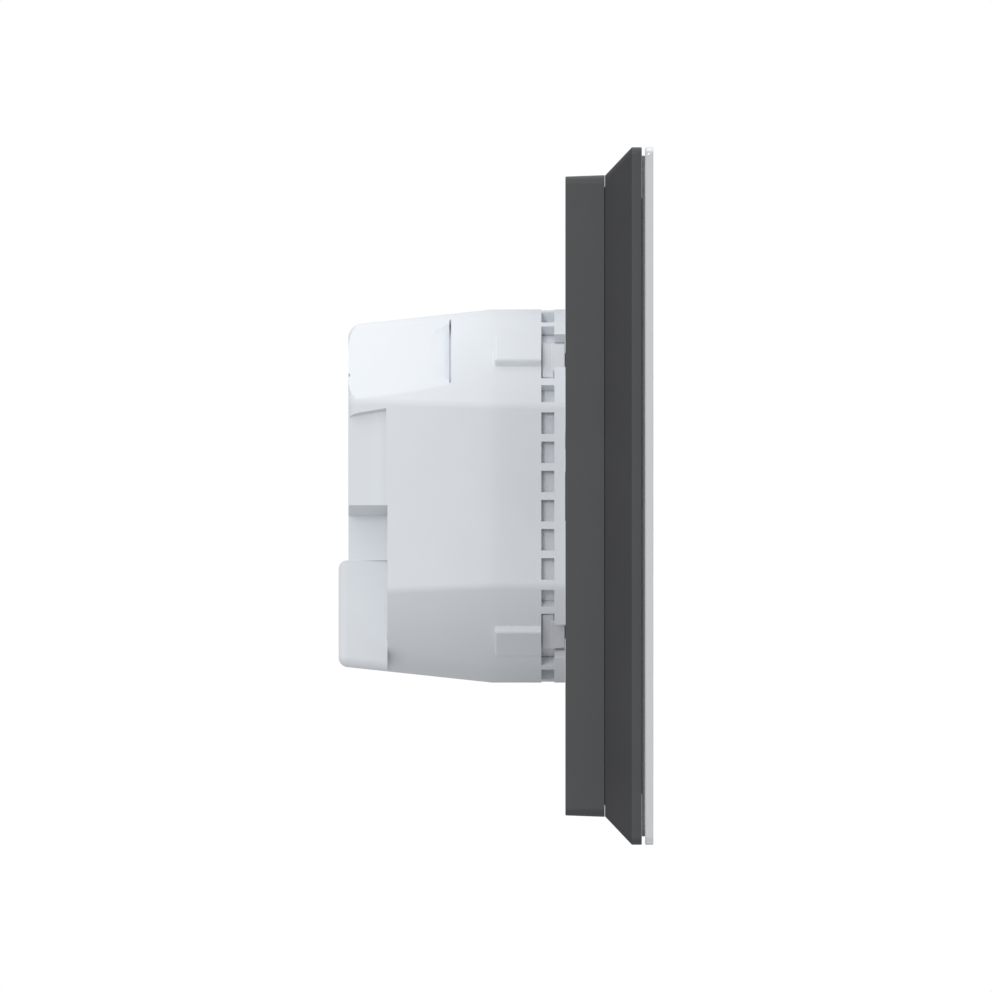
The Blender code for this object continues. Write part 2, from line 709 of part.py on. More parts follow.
def housing_cavity():
    """The hollow inside the housing, short of the terminal compartment's walls."""
    back = HOUSING_DEPTH - HOUSING_BACK
    levels = (
        (-PAST, HOUSING_WALL),
        (HOUSING_STRAIGHT, HOUSING_WALL),
        (HOUSING_THICKENS, HOUSING_WALL),
        (HOUSING_THICKENS + PAST, HOUSING_THICK_WALL),
        (back, HOUSING_THICK_WALL),
    )
    cavity = add_tool("housing_cavity", loft([housing_loop(y, y, inset) for y, inset in levels]))
    far = HOUSING_DIAMETER
    cut(cavity, "below", box((-far, BULKHEAD_FRONT, -far), (far, far, TERMINAL_TOP + HOUSING_BACK)))
    sides = bmesh.new()
    ceiling = GRIP_TOP + HOUSING_WALL
    add_box(sides, (BAY_WALL_X, BULKHEAD_FRONT, -far), (far, far, ceiling))
    add_box(sides, (-far, BULKHEAD_FRONT, -far), (-BAY_WALL_X, far, ceiling))
    cut(cavity, "sides", sides)
    return cavity


def board_ribs():
    """Ribs on the housing's back and bulkhead that the power board sits on."""
    bm = bmesh.new()
    seat = POWER_BOARD_Y + BOARD_THICKNESS + SEAT_GAP
    back = HOUSING_DEPTH - HOUSING_BACK + OVERLAP
    half = RIB_WIDTH / 2
    for x in (-RIB_X, RIB_X):
        add_box(bm, (x - half, seat, RIB_NEAR), (x + half, back, RIB_FAR))
        add_box(bm, (x - half, seat, -RIB_FAR), (x + half, BULKHEAD_FRONT + OVERLAP, -RIB_NEAR))
    return bm


def latch_slots():
    """Slots in the compartment's floor for the terminal cover's latches."""
    bm = bmesh.new()
    for x in (-LATCH_X, LATCH_X):
        half_x, half_z = LATCH_WIDTH / 2 + SLIP, LATCH_HEIGHT / 2 + SLIP
        low = (x - half_x, BULKHEAD_FRONT - PAST / 2, LATCH_Z - half_z)
        add_box(bm, low, (x + half_x, TERMINAL_STEP + PAST / 2, LATCH_Z + half_z))
    return bm


def rear_housing():
    form = housing_form(SEAT_GAP, HOUSING_DEPTH, HOUSING_REAR_RADIUS)
    mesh = mesh_from(form, "rear_housing")
    smooth(mesh)
    housing = add_piece("rear_housing", mesh, WHITE_PLASTIC, WALL_UNIT)
    far = HOUSING_DIAMETER
    join(housing, "pads", pad_shapes())
    combine(housing, housing_cavity(), "DIFFERENCE")
    cut(housing, "windows", window_cutters())
    cut(housing, "notches", notch_cutters())
    cut(housing, "facets", facet_cutters())
    cut(housing, "side_recess", side_cutters(SIDE_RECESS, SIDE_RECESS_TOP, TERMINAL_TOP - PAST))
    cut(housing, "grips", side_cutters(GRIP_RECESS, GRIP_TOP, TERMINAL_TOP - PAST))
    cut(housing, "terminal_bay", box((-far, TERMINAL_STEP, -far), (far, far, TERMINAL_TOP)))
    cut(housing, "latch_slots", latch_slots())
    join(housing, "ribs", board_ribs())


# ---------------------------------------------------------------- terminals

def cover_loop(y, inset):
    """The cover's outline at depth y, drawn in by inset. Its underside follows the housing's taper."""
    radius = max(COVER_CORNER_RADIUS - inset, COVER_CORNER_RADIUS / 5)
    half = COVER_HALF_X - inset
    low = inset - housing_radius(y)
    points = [Vector((-half, y, COVER_TOP - inset)), Vector((half, y, COVER_TOP - inset))]
    for corner, side in enumerate((1, -1)):
        for step in range(CORNER_STEPS + 1):
            angle = -(corner + step / CORNER_STEPS) * pi / 2
            x = side * (half - radius) + radius * cos(angle)
            points.append(Vector((x, y, low + radius + radius * sin(angle))))
    return points


def terminal_cover(parent):
    """Cap over the lower rear of the housing. It slides off backwards."""
    levels = [(COVER_FRONT, 0.0)]
    for step in range(CORNER_STEPS + 1):
        angle = step / CORNER_STEPS * pi / 2
        drawn_in = COVER_REAR_RADIUS * (1 - cos(angle))
        levels.append((TERMINAL_COVER_DEPTH - COVER_REAR_RADIUS * (1 - sin(angle)), drawn_in))
    mesh = mesh_from(loft([cover_loop(y, inset) for y, inset in levels]), "terminal_cover")
    smooth(mesh)
    cover = add_piece("terminal_cover", mesh, WHITE_PLASTIC, parent)
    inner = TERMINAL_COVER_DEPTH - COVER_WALL
    cut(cover, "hollow", loft([cover_loop(y, COVER_WALL) for y in (COVER_FRONT - PAST, inner)]))
    latches = bmesh.new()
    for x in (-LATCH_X, LATCH_X):
        low = (x - LATCH_WIDTH / 2, inner + OVERLAP - LATCH_LENGTH, LATCH_Z - LATCH_HEIGHT / 2)
        add_box(latches, low, (x + LATCH_WIDTH / 2, inner + OVERLAP, LATCH_Z + LATCH_HEIGHT / 2))
    join(cover, "latches", latches)
    low = (-CABLE_SLOT_X / 2, inner - PAST / 2, ENTRY_ROW_Z - CABLE_SLOT_Z / 2)
    high = (CABLE_SLOT_X / 2, TERMINAL_COVER_DEPTH + PAST, ENTRY_ROW_Z + CABLE_SLOT_Z / 2)
    cut(cover, "cable_slot", box(low, high))


def pole_places(z):
    return [((pole - (POLES - 1) / 2) * POLE_PITCH, z) for pole in range(POLES)]


def terminal_block():
    """Four-way screw terminal block, wired from the rear."""
    mesh = mesh_from(
        box(
            (-BLOCK_HALF_X, BLOCK_START, BLOCK_TOP - BLOCK_HEIGHT),
            (BLOCK_HALF_X, BLOCK_REAR_FACE, BLOCK_TOP),
        ),
        "terminal_block",
    )
    block = add_piece("terminal_block", mesh, GREY_PLASTIC, WALL_UNIT)
    floor = BLOCK_START + OVERLAP * 2
    screw_hole = TERMINAL_SCREW_HEAD / 2 + SLIP
    cut(block, "screw_holes", rods(pole_places(SCREW_ROW_Z), screw_hole, floor, BLOCK_REAR_FACE + PAST))
    entries = bmesh.new()
    for x, z in pole_places(ENTRY_ROW_Z):
        half = ENTRY_SIDE / 2
        add_box(entries, (x - half, floor, z - half), (x + half, BLOCK_REAR_FACE + PAST, z + half))
    cut(block, "wire_entries", entries)


def terminal_clamps():
    """Brass cage clamps, one in each wire entry."""
    rear = BLOCK_START + OVERLAP * 2 + SLIP + CLAMP_DEPTH
    half = CLAMP_SIDE / 2
    for number, (x, z) in enumerate(pole_places(ENTRY_ROW_Z), 1):
        name = f"terminal_clamp_{number}"
        mesh = mesh_from(box((-half, -CLAMP_DEPTH, -half), (half, 0.0, half)), name)
        clamp = add_piece(name, mesh, BRASS, WALL_UNIT, (x, rear, z))
        hole = rods([(x, z)], CLAMP_BORE / 2, rear - CLAMP_DEPTH - PAST, rear + PAST, SCREW_SIDES)
        cut(clamp, "bore", hole)


def terminal_screws():
    head, shank = TERMINAL_SCREW_HEAD / 2, TERMINAL_SCREW_SHANK / 2
    seat = -TERMINAL_SCREW_HEAD_HEIGHT
    length = BLOCK_DEPTH - 2 * OVERLAP - 2 * SLIP
    profile = [(0.0, 0.0), (head, 0.0), (head, seat), (shank, seat), (shank, -length), (0.0, -length)]
    mesh = screw_mesh("terminal_screw", profile, TERMINAL_SCREW_RECESS, ZINC_STEEL)
    places = pole_places(SCREW_ROW_Z)
    place_screws("terminal_screw", mesh, ZINC_STEEL, WALL_UNIT, places, BLOCK_REAR_FACE - SLIP, False)


# ---------------------------------------------------------------- carrier and support ring

def inner_carrier():
    """Insert that closes the housing's mouth: a front plate, a skirt and four snap hooks."""
    front = SEAT_GAP
    mesh = mesh_from(housing_disc(front, CARRIER_DEPTH, CARRIER_INSET), "inner_carrier")
    smooth(mesh)
    carrier = add_piece("inner_carrier", mesh, WHITE_PLASTIC, WALL_UNIT)
    inside = housing_disc(front + CARRIER_PLATE, CARRIER_DEPTH + PAST, CARRIER_INSET + CARRIER_SKIRT)
    cut(carrier, "inside", inside)
    hooks = bmesh.new()
    skirt = HOUSING_RADIUS - CARRIER_INSET
    middle = radians(sum(HOOK_NOTCH) / 2)
    for angle in (middle, pi - middle, pi + middle, 2 * pi - middle):
        low = (skirt - CARRIER_SKIRT / 2, front, -HOOK_WIDTH / 2)
        high = (skirt + HOOK_PROUD, WINDOW_FRONT + WINDOW_WIDTH - SLIP, HOOK_WIDTH / 2)
        add_box(hooks, low, high, Matrix.Rotation(-angle, 4, "Y"))
    join(carrier, "hooks", hooks)
    places = four_ways(RING_SCREW_X, RING_SCREW_Z)
    boss_end = INTERFACE_BOARD_Y - SEAT_GAP
    join(carrier, "bosses", rods(places, BOSS_DIAMETER / 2, front + CARRIER_PLATE - OVERLAP, boss_end))
    hole = RING_SCREW_SHANK / 2 + HOLE_CLEARANCE
    cut(carrier, "screw_holes", rods(places, hole, -PAST, boss_end - OVERLAP, SCREW_SIDES))
    half_x, half_z = PLUG_X / 2 + SLIP, PLUG_Z / 2 + SLIP
    cut(carrier, "plug_hole", box((-half_x, -PAST, -half_z), (half_x, CARRIER_PLATE + PAST, half_z)))


def support_ring():
    """Steel plate that is screwed to the flush box and carries both units."""
    half = RING_SIDE / 2
    mesh = mesh_from(plate(half, half, -RING_THICKNESS, 0.0, RING_CORNER_RADIUS), "support_ring")
    ring = add_piece("support_ring", mesh, ZINC_STEEL, WALL_UNIT)
    low, high = -RING_THICKNESS - PAST, PAST
    window = plate(RING_WINDOW_X / 2, RING_WINDOW_Z / 2, low, high, RING_CORNER_RADIUS)
    cut(ring, "window", window)
    for name, x, z in (("right", 1, 0), ("left", -1, 0), ("top", 0, 1), ("bottom", 0, -1)):
        reach = BOX_SCREW_SPACING / 2
        cutter = slot(x * reach, z * reach, BOX_SLOT_WIDTH, BOX_SLOT_LENGTH, z == 0, low, high)
        cut(ring, f"box_slot_{name}", cutter)
    places = four_ways(RING_SCREW_X, RING_SCREW_Z)
    hole, sunk = RING_SCREW_SHANK / 2 + HOLE_CLEARANCE, RING_SCREW_HEAD / 2 + HOLE_CLEARANCE
    sink_end = -RING_THICKNESS + (sunk - hole)
    cut(ring, "screw_holes", rods(places, hole, low, high))
    sink_start = -RING_THICKNESS - OVERLAP
    cut(ring, "countersinks", rods(places, sunk + OVERLAP, sink_start, sink_end, ROUND_SIDES, hole))
    corner = BOX_SCREW_SPACING / 2
    cut(ring, "corner_holes", rods(four_ways(corner, corner), RING_CORNER_HOLE / 2, low, high))


def ring_screws():
    head, shank = RING_SCREW_HEAD / 2, RING_SCREW_SHANK / 2
    length = RING_THICKNESS + RING_SCREW_REACH - SEAT_GAP
    profile = [
        (0.0, 0.0), (head - SEAT_GAP, 0.0), (head - SEAT_GAP, -SEAT_GAP), (shank, -SEAT_GAP - (head - shank)),
        (shank, -length), (0.0, -length - shank),
    ]
    mesh = screw_mesh("ring_screw", profile, RING_SCREW_RECESS, ZINC_STEEL)
    places = four_ways(RING_SCREW_X, RING_SCREW_Z)
    place_screws("ring_screw", mesh, ZINC_STEEL, WALL_UNIT, places, -RING_THICKNESS + SEAT_GAP / 2, True)


# ---------------------------------------------------------------- electronics in the housing

def interface_board():
    rear = INTERFACE_BOARD_Y + BOARD_THICKNESS
    mesh = mesh_from(housing_disc(INTERFACE_BOARD_Y, rear, INTERFACE_INSET), "interface_board")
    add_piece("interface_board", mesh, BOARD_GREEN, WALL_UNIT)


def plug_header():
    """Shrouded plug on the interface board, reaching out through the support ring."""
    base = INTERFACE_BOARD_Y - SEAT_GAP
    low, high = (-PLUG_X / 2, -PLUG_PROUD, -PLUG_Z / 2), (PLUG_X / 2, base, PLUG_Z / 2)
    header = add_piece("plug_header", mesh_from(box(low, high), "plug_header"), BLACK_PLASTIC, WALL_UNIT)
    half_x, half_z = PLUG_X / 2 - PLUG_WALL, PLUG_Z / 2 - PLUG_WALL
    floor = base - 2 * PLUG_WALL
    cut(header, "well", box((-half_x, -PLUG_PROUD - PAST, -half_z), (half_x, floor, half_z)))


def comb(name, low_y, bar_y, high_y, count, z):
    """A row of pins joined by a bar: the outline of a comb, as thick as a pin."""
    half_pin = PIN_SIDE / 2
    outline = []
    for pin in range(count):
        x = (pin - (count - 1) / 2) * PIN_PITCH
        left, right = x - half_pin, x + half_pin
        outline += [(left, bar_y), (left, low_y), (right, low_y), (right, bar_y)]
    span = (count - 1) / 2 * PIN_PITCH + half_pin
    outline[0], outline[-1] = (-span, high_y), (span, high_y)
    curve = bpy.data.curves.new(name, "CURVE")
    curve.dimensions = "2D"
    curve.fill_mode = "BOTH"
    curve.extrude = half_pin
    line = curve.splines.new("POLY")
    line.points.add(len(outline) - 1)
    for point, (x, y) in zip(line.points, outline):
        point.co = (x, y, 0.0, 1.0)
    line.use_cyclic_u = True
    curve.materials.append(BRASS)
    piece = bpy.data.objects.new(name, curve)
    piece.parent = WALL_UNIT
    piece.location = (0.0, 0.0, z)
    PARTS.objects.link(piece)


def header_pins():
    floor = INTERFACE_BOARD_Y - SEAT_GAP - 2 * PLUG_WALL
    comb("header_pins", -PIN_PROUD, floor - SEAT_GAP - PIN_SIDE, floor - SEAT_GAP, PIN_COUNT, 0.0)


def board_link():
    """Pin strip that joins the two boards in the housing."""
    rear = POWER_BOARD_Y - SEAT_GAP
    front = INTERFACE_BOARD_Y + BOARD_THICKNESS + SEAT_GAP
    comb("board_link", front, rear - 2 * PIN_SIDE, rear, PIN_COUNT, BOARD_LINK_Z)


def power_board():
    inset = HOUSING_THICK_WALL + SLIP
    mesh = mesh_from(housing_disc(POWER_BOARD_Y, POWER_BOARD_Y + BOARD_THICKNESS, inset), "power_board")
    add_piece("power_board", mesh, BOARD_GREEN, WALL_UNIT)


def transformer():
    """Small mains transformer: a core with a winding standing out on both sides."""
    size = Vector(TRANSFORMER_CORE)
    back = POWER_BOARD_Y - SEAT_GAP
    x, z = TRANSFORMER_PLACE
    middle = Vector((x, back - size.y / 2, z))
    mesh = mesh_from(box(middle - size / 2, middle + size / 2), "transformer")
    core = add_piece("transformer", mesh, BLACK_PLASTIC, WALL_UNIT)
    change = Vector((-WINDING_INSET_X, -WINDING_INSET_Y, WINDING_PROUD))
    join(core, "winding", box(middle - size / 2 - change, middle + size / 2 + change))


def capacitor():
    """Round can with a pressed groove near its foot."""
    radius, height, groove = CAPACITOR_DIAMETER / 2, CAPACITOR_HEIGHT, CAPACITOR_GROOVE
    press = CAPACITOR_FOOT - height
    profile = [
        (0.0, 0.0), (radius - groove, 0.0), (radius, -groove), (radius, press + groove),
        (radius - groove, press), (radius, press - groove), (radius, -height), (0.0, -height),
    ]
    place = (CAPACITOR_PLACE[0], POWER_BOARD_Y - SEAT_GAP - height, CAPACITOR_PLACE[1])
    turned("bulk_capacitor", profile, CAN_ALUMINIUM, WALL_UNIT, place, True)


def choke():
    """Drum-core choke: a winding between two flanges."""
    radius, waist = CHOKE_DIAMETER / 2, CHOKE_WAIST / 2
    height, flange = CHOKE_HEIGHT, CHOKE_FLANGE
    profile = [
        (0.0, 0.0), (radius, 0.0), (radius, -flange), (waist, -flange),
        (waist, flange - height), (radius, flange - height), (radius, -height), (0.0, -height),
    ]
    place = (CHOKE_PLACE[0], POWER_BOARD_Y - SEAT_GAP - height, CHOKE_PLACE[1])
    turned("line_choke", profile, COPPER_WINDING, WALL_UNIT, place, True)


# ---------------------------------------------------------------- panel shells

def rear_cover():
    """Grey base: a tray that fits over the support ring, with a tongue that enters the bezel."""
    sections = [(BASE_HALF - BASE_DRAFT, 0.0), (BASE_HALF, BASE_FRONT)]
    mesh = mesh_from(square_loft(sections, BASE_CORNER_RADIUS), "rear_cover")
    cover = add_piece("rear_cover", mesh, GREY_PLASTIC, PANEL)
    tip = BASE_FRONT - TONGUE_LENGTH
    join(cover, "tongue", square_block(TONGUE_HALF, BASE_FRONT + OVERLAP, tip))
    cut(cover, "inside", square_block(CAVITY_HALF, FLOOR_FRONT, tip - PAST))
    cut(cover, "ring_recess", square_block(CAVITY_HALF, PAST, FLOOR_REAR))
    places = four_ways(BOARD_SCREW_PLACE, BOARD_SCREW_PLACE)
    standoffs = rods(places, STANDOFF_DIAMETER / 2, MAIN_BOARD_REAR + SEAT_GAP, FLOOR_FRONT + OVERLAP)
    join(cover, "standoffs", standoffs)
    low, high = MAIN_BOARD_FRONT, PAST
    pilot = BOARD_SCREW_SHANK / 2 + HOLE_CLEARANCE
    cut(cover, "pilot_holes", rods(places, pilot, low, FLOOR_REAR - OVERLAP, SCREW_SIDES))
    corners = four_ways(CASE_SCREW_PLACE, CASE_SCREW_PLACE)
    holes = rods(corners, CASE_SCREW_SHANK / 2 + HOLE_CLEARANCE, low, high)
    add_rod(holes, SWITCH_X, TAMPER_Z, PLUNGER_RADIUS + SLIP, low, high)
    add_rod(holes, SWITCH_X, BUTTON_Z, BUTTON_RADIUS + SLIP, low, high)
    half_x, half_z = PLUG_X / 2 - PLUG_WALL, PLUG_Z / 2 - PLUG_WALL
    add_box(holes, (-half_x, low, -half_z), (half_x, high, half_z))
    cut(cover, "holes", holes)
    slots = bmesh.new()
    for quarter in range(4):
        low_corner = (CLIP_LINE - CLIP_SHEET / 2 - SLIP, low, -CLIP_WIDTH / 2 - SLIP)
        high_corner = (CLIP_LINE + CLIP_SHEET / 2 + SLIP, high, CLIP_WIDTH / 2 + SLIP)
        add_box(slots, low_corner, high_corner, Matrix.Rotation(quarter * pi / 2, 4, "Y"))
    cut(cover, "clip_slots", slots)


def bezel_frame():
    """Flared frame and rim in front of the base, with a screw block in each corner."""
    rear = BASE_FRONT - SEAM
    half = PANEL_SIDE / 2
    sections = [(BASE_HALF, rear), (half, FLARE_FRONT), (half, RIM_FRONT)]
    mesh = mesh_from(square_loft(sections, PANEL_CORNER_RADIUS), "bezel_frame")
    bezel = add_piece("bezel_frame", mesh, GREY_PLASTIC, PANEL)
    straight = BASE_FRONT - TONGUE_LENGTH
    inside = [
        (BEZEL_HALF, rear + PAST), (BEZEL_HALF, straight), (half - BEZEL_FLARE_WALL, FLARE_FRONT),
        (OPENING_HALF, FLARE_FRONT), (OPENING_HALF, RIM_FRONT - PAST),
    ]
    cut(bezel, "inside", square_loft(inside, INNER_CORNER_RADIUS))
    inner = CASE_SCREW_PLACE - STANDOFF_DIAMETER / 2
    places = four_ways(1, 1)
    arms, blocks = bmesh.new(), bmesh.new()
    for x, z in places:
        for bm, reach, y_low, y_high in (
            (arms, half - BEZEL_FLARE_WALL + OVERLAP, BLOCK_FRONT, straight - SLIP),
            (blocks, CAVITY_HALF - SLIP, BLOCK_FRONT + OVERLAP, BLOCK_REAR),
        ):
            verts = add_box(bm, (inner, y_low, inner), (reach, y_high, reach))
            bmesh.ops.scale(bm, vec=(x, 1.0, z), verts=verts)
    join(bezel, "block_arms", arms)
    join(bezel, "blocks", blocks)
    pilot = CASE_SCREW_SHANK / 2 + HOLE_CLEARANCE
    end = BLOCK_REAR - CASE_SCREW_REACH
    corners = four_ways(CASE_SCREW_PLACE, CASE_SCREW_PLACE)
    cut(bezel, "pilot_holes", rods(corners, pilot, end - SLIP, 0.0, SCREW_SIDES))


def glass_carrier():
    """Thin plate behind the glass, with a skirt that locates it in the bezel."""
    rear, front = RIM_FRONT - GLUE_GAP, NECK_FRONT + GLUE_GAP
    mesh = mesh_from(plate(NECK_HALF, NECK_HALF, front, rear, PANEL_CORNER_RADIUS), "glass_carrier")
    carrier = add_piece("glass_carrier", mesh, GREY_PLASTIC, PANEL)
    skirt = plate(SKIRT_HALF, SKIRT_HALF, rear - SEAT_GAP, SKIRT_REAR, INNER_CORNER_RADIUS)
    join(carrier, "skirt", skirt)
    half = CARRIER_OPENING
    cut(carrier, "opening", plate(half, half, NECK_FRONT - PAST, PAST, INNER_CORNER_RADIUS))


def front_glass():
    half = PANEL_SIDE / 2
    mesh = mesh_from(plate(half, half, GLASS_FRONT, NECK_FRONT, PANEL_CORNER_RADIUS), "front_glass")
    add_piece("front_glass", mesh, BACKED_GLASS, PANEL)


def case_screws():
    head, shank = CASE_SCREW_HEAD / 2, CASE_SCREW_SHANK / 2
    seat = FLOOR_REAR + SEAT_GAP / 2
    top = seat + CASE_SCREW_HEAD_HEIGHT
    length = top - (BLOCK_REAR - CASE_SCREW_REACH)
    profile = [
        (0.0, 0.0), (head - CASE_SCREW_ROUNDING, 0.0), (head, -CASE_SCREW_ROUNDING),
        (head, seat - top), (shank, seat - top),
        (shank, -length), (0.0, -length),
    ]
    mesh = screw_mesh("case_screw", profile, CASE_SCREW_RECESS, ZINC_STEEL)
    places = four_ways(CASE_SCREW_PLACE, CASE_SCREW_PLACE)
    place_screws("case_screw", mesh, ZINC_STEEL, PANEL, places, top, False)


def panel_clips():
    """Four leaf springs that reach back through the floor to the support ring's edges."""
    nose = RING_SIDE / 2 + CLIP_GAP + CLIP_SHEET / 2
    foot_y = FLOOR_FRONT - CLIP_SHEET / 2 - SEAT_GAP
    profile = [
        (CLIP_LINE + CLIP_FOOT, foot_y), (CLIP_LINE, foot_y), (CLIP_LINE, -RING_THICKNESS - CLIP_LEAD),
        (nose, -RING_THICKNESS * CLIP_NOSE_SHARE), (nose + CLIP_FLICK, -RING_THICKNESS * CLIP_TIP_SHARE),
    ]
    for quarter in range(4):
        bm = bmesh.new()
        line = [bm.verts.new((x, y, -CLIP_WIDTH / 2)) for x, y in profile]
        edges = [bm.edges.new(pair) for pair in zip(line, line[1:])]
        lifted = bmesh.ops.extrude_edge_only(bm, edges=edges)["geom"]
        moved = [item for item in lifted if isinstance(item, bmesh.types.BMVert)]
        bmesh.ops.translate(bm, verts=moved, vec=(0.0, 0.0, CLIP_WIDTH))
        bmesh.ops.rotate(bm, verts=bm.verts, matrix=Matrix.Rotation(quarter * pi / 2, 3, "Y"))
        name = f"panel_clip_{quarter + 1}"
        clip = add_piece(name, mesh_from(bm, name), SPRING_STEEL, PANEL)
        skin = clip.modifiers.new("sheet", "SOLIDIFY")
        skin.thickness = CLIP_SHEET
        skin.offset = 0.0
        skin.use_even_offset = True


# ---------------------------------------------------------------- panel electronics

def main_board():
    half = CAVITY_HALF - SLIP
    mesh = mesh_from(plate(half, half, MAIN_BOARD_FRONT, MAIN_BOARD_REAR, INNER_CORNER_RADIUS), "main_board")
    board = add_piece("main_board", mesh, BOARD_GREEN, PANEL)
    low, high = MAIN_BOARD_FRONT - PAST, MAIN_BOARD_REAR + PAST / 2
    case_hole = CASE_SCREW_SHANK / 2 + 2 * HOLE_CLEARANCE
    corners = four_ways(CASE_SCREW_PLACE, CASE_SCREW_PLACE)
    holes = rods(corners, case_hole, low, high, SCREW_SIDES)
    board_hole = BOARD_SCREW_SHANK / 2 + HOLE_CLEARANCE
    for x, z in four_ways(BOARD_SCREW_PLACE, BOARD_SCREW_PLACE):
        add_rod(holes, x, z, board_hole, low, high, SCREW_SIDES)
    add_rod(holes, SWITCH_X, TAMPER_Z, PLUNGER_RADIUS + SLIP, low, high, SCREW_SIDES)
    cut(board, "holes", holes)


def board_screws():
    head, shank = BOARD_SCREW_HEAD / 2, BOARD_SCREW_SHANK / 2
    seat = MAIN_BOARD_FRONT - SEAT_GAP / 2
    top = seat - BOARD_SCREW_HEAD_HEIGHT
    length = FLOOR_REAR - OVERLAP - SLIP - top
    profile = [
        (0.0, 0.0), (head, 0.0), (head, top - seat), (shank, top - seat), (shank, -length), (0.0, -length),
    ]
    mesh = screw_mesh("board_screw", profile, BOARD_SCREW_RECESS, ZINC_STEEL)
    places = four_ways(BOARD_SCREW_PLACE, BOARD_SCREW_PLACE)
    place_screws("board_screw", mesh, ZINC_STEEL, PANEL, places, top, True)


def board_socket():
    """Socket on the back of the main board, entering the wall unit's plug."""
    gap = SEAT_GAP
    half_x, half_z = PLUG_X / 2 - PLUG_WALL - SLIP, PLUG_Z / 2 - PLUG_WALL - SLIP
    low, high = (-half_x, MAIN_BOARD_REAR + gap, -half_z), (half_x, SOCKET_REACH, half_z)
    socket = add_piece("board_socket", mesh_from(box(low, high), "board_socket"), BLACK_PLASTIC, PANEL)
    pin_half_x = (PIN_COUNT - 1) / 2 * PIN_PITCH + PIN_SIDE / 2 + SLIP
    pin_half_z = PIN_SIDE / 2 + SLIP
    depth = -PIN_PROUD - PAST
    cut(socket, "well", box((-pin_half_x, depth, -pin_half_z), (pin_half_x, SOCKET_REACH + PAST, pin_half_z)))


def key_places():
    places = []
    for row in range(KEY_ROWS):
        for column in range(KEY_COLUMNS):
            x = (column - (KEY_COLUMNS - 1) / 2) * KEY_PITCH_X
            z = KEYPAD_CENTRE_Z + ((KEY_ROWS - 1) / 2 - row) * KEY_PITCH_Z
            places.append((x, z))
    return places


def light_guide():
    """White grid that keeps each key's light to itself."""
    low = (-LIGHT_GUIDE_HALF_X, LIGHT_FRONT, KEYPAD_BOTTOM)
    high = (LIGHT_GUIDE_HALF_X, LIGHT_REAR, KEYPAD_TOP)
    guide = add_piece("light_guide", mesh_from(box(low, high), "light_guide"), PALE_PLASTIC, PANEL)
    wells = bmesh.new()
    for x, z in key_places():
        low = (x - WELL_X / 2, LIGHT_FRONT - PAST, z - WELL_Z / 2)
        add_box(wells, low, (x + WELL_X / 2, LIGHT_REAR + PAST, z + WELL_Z / 2))
    cut(guide, "wells", wells)


def display_window(border, y_low, y_high):
    """A cutter for the display's window, larger than the display by border."""
    half_x, half_z = DISPLAY_X / 2 + border, DISPLAY_Z / 2 + border
    return box(
        (-half_x, y_low, DISPLAY_CENTRE_Z - half_z), (half_x, y_high, DISPLAY_CENTRE_Z + half_z)
    )


def touch_board():
    """Sensor board behind the glass, with a light hole under each key."""
    form = plate(SENSOR_HALF, SENSOR_HALF, TOUCH_FRONT, TOUCH_REAR, INNER_CORNER_RADIUS)
    mesh = mesh_from(form, "touch_board")
    board = add_piece("touch_board", mesh, BOARD_GREEN, PANEL)
    holes = display_window(SLIP, TOUCH_FRONT - PAST, TOUCH_REAR + PAST)
    for x, z in key_places():
        half = TOUCH_HOLE / 2
        add_box(holes, (x - half, TOUCH_FRONT - PAST, z - half), (x + half, TOUCH_REAR + PAST, z + half))
    cut(board, "holes", holes)


def legend_film():
    """Printed diffuser film between the sensor board and the glass."""
    form = plate(SENSOR_HALF, SENSOR_HALF, FILM_FRONT, FILM_REAR, INNER_CORNER_RADIUS)
    mesh = mesh_from(form, "legend_film")
    film = add_piece("legend_film", mesh, PRINTED_FILM, PANEL)
    cut(film, "window", display_window(-DISPLAY_VIEW_BORDER, FILM_FRONT - PAST, FILM_REAR + PAST))


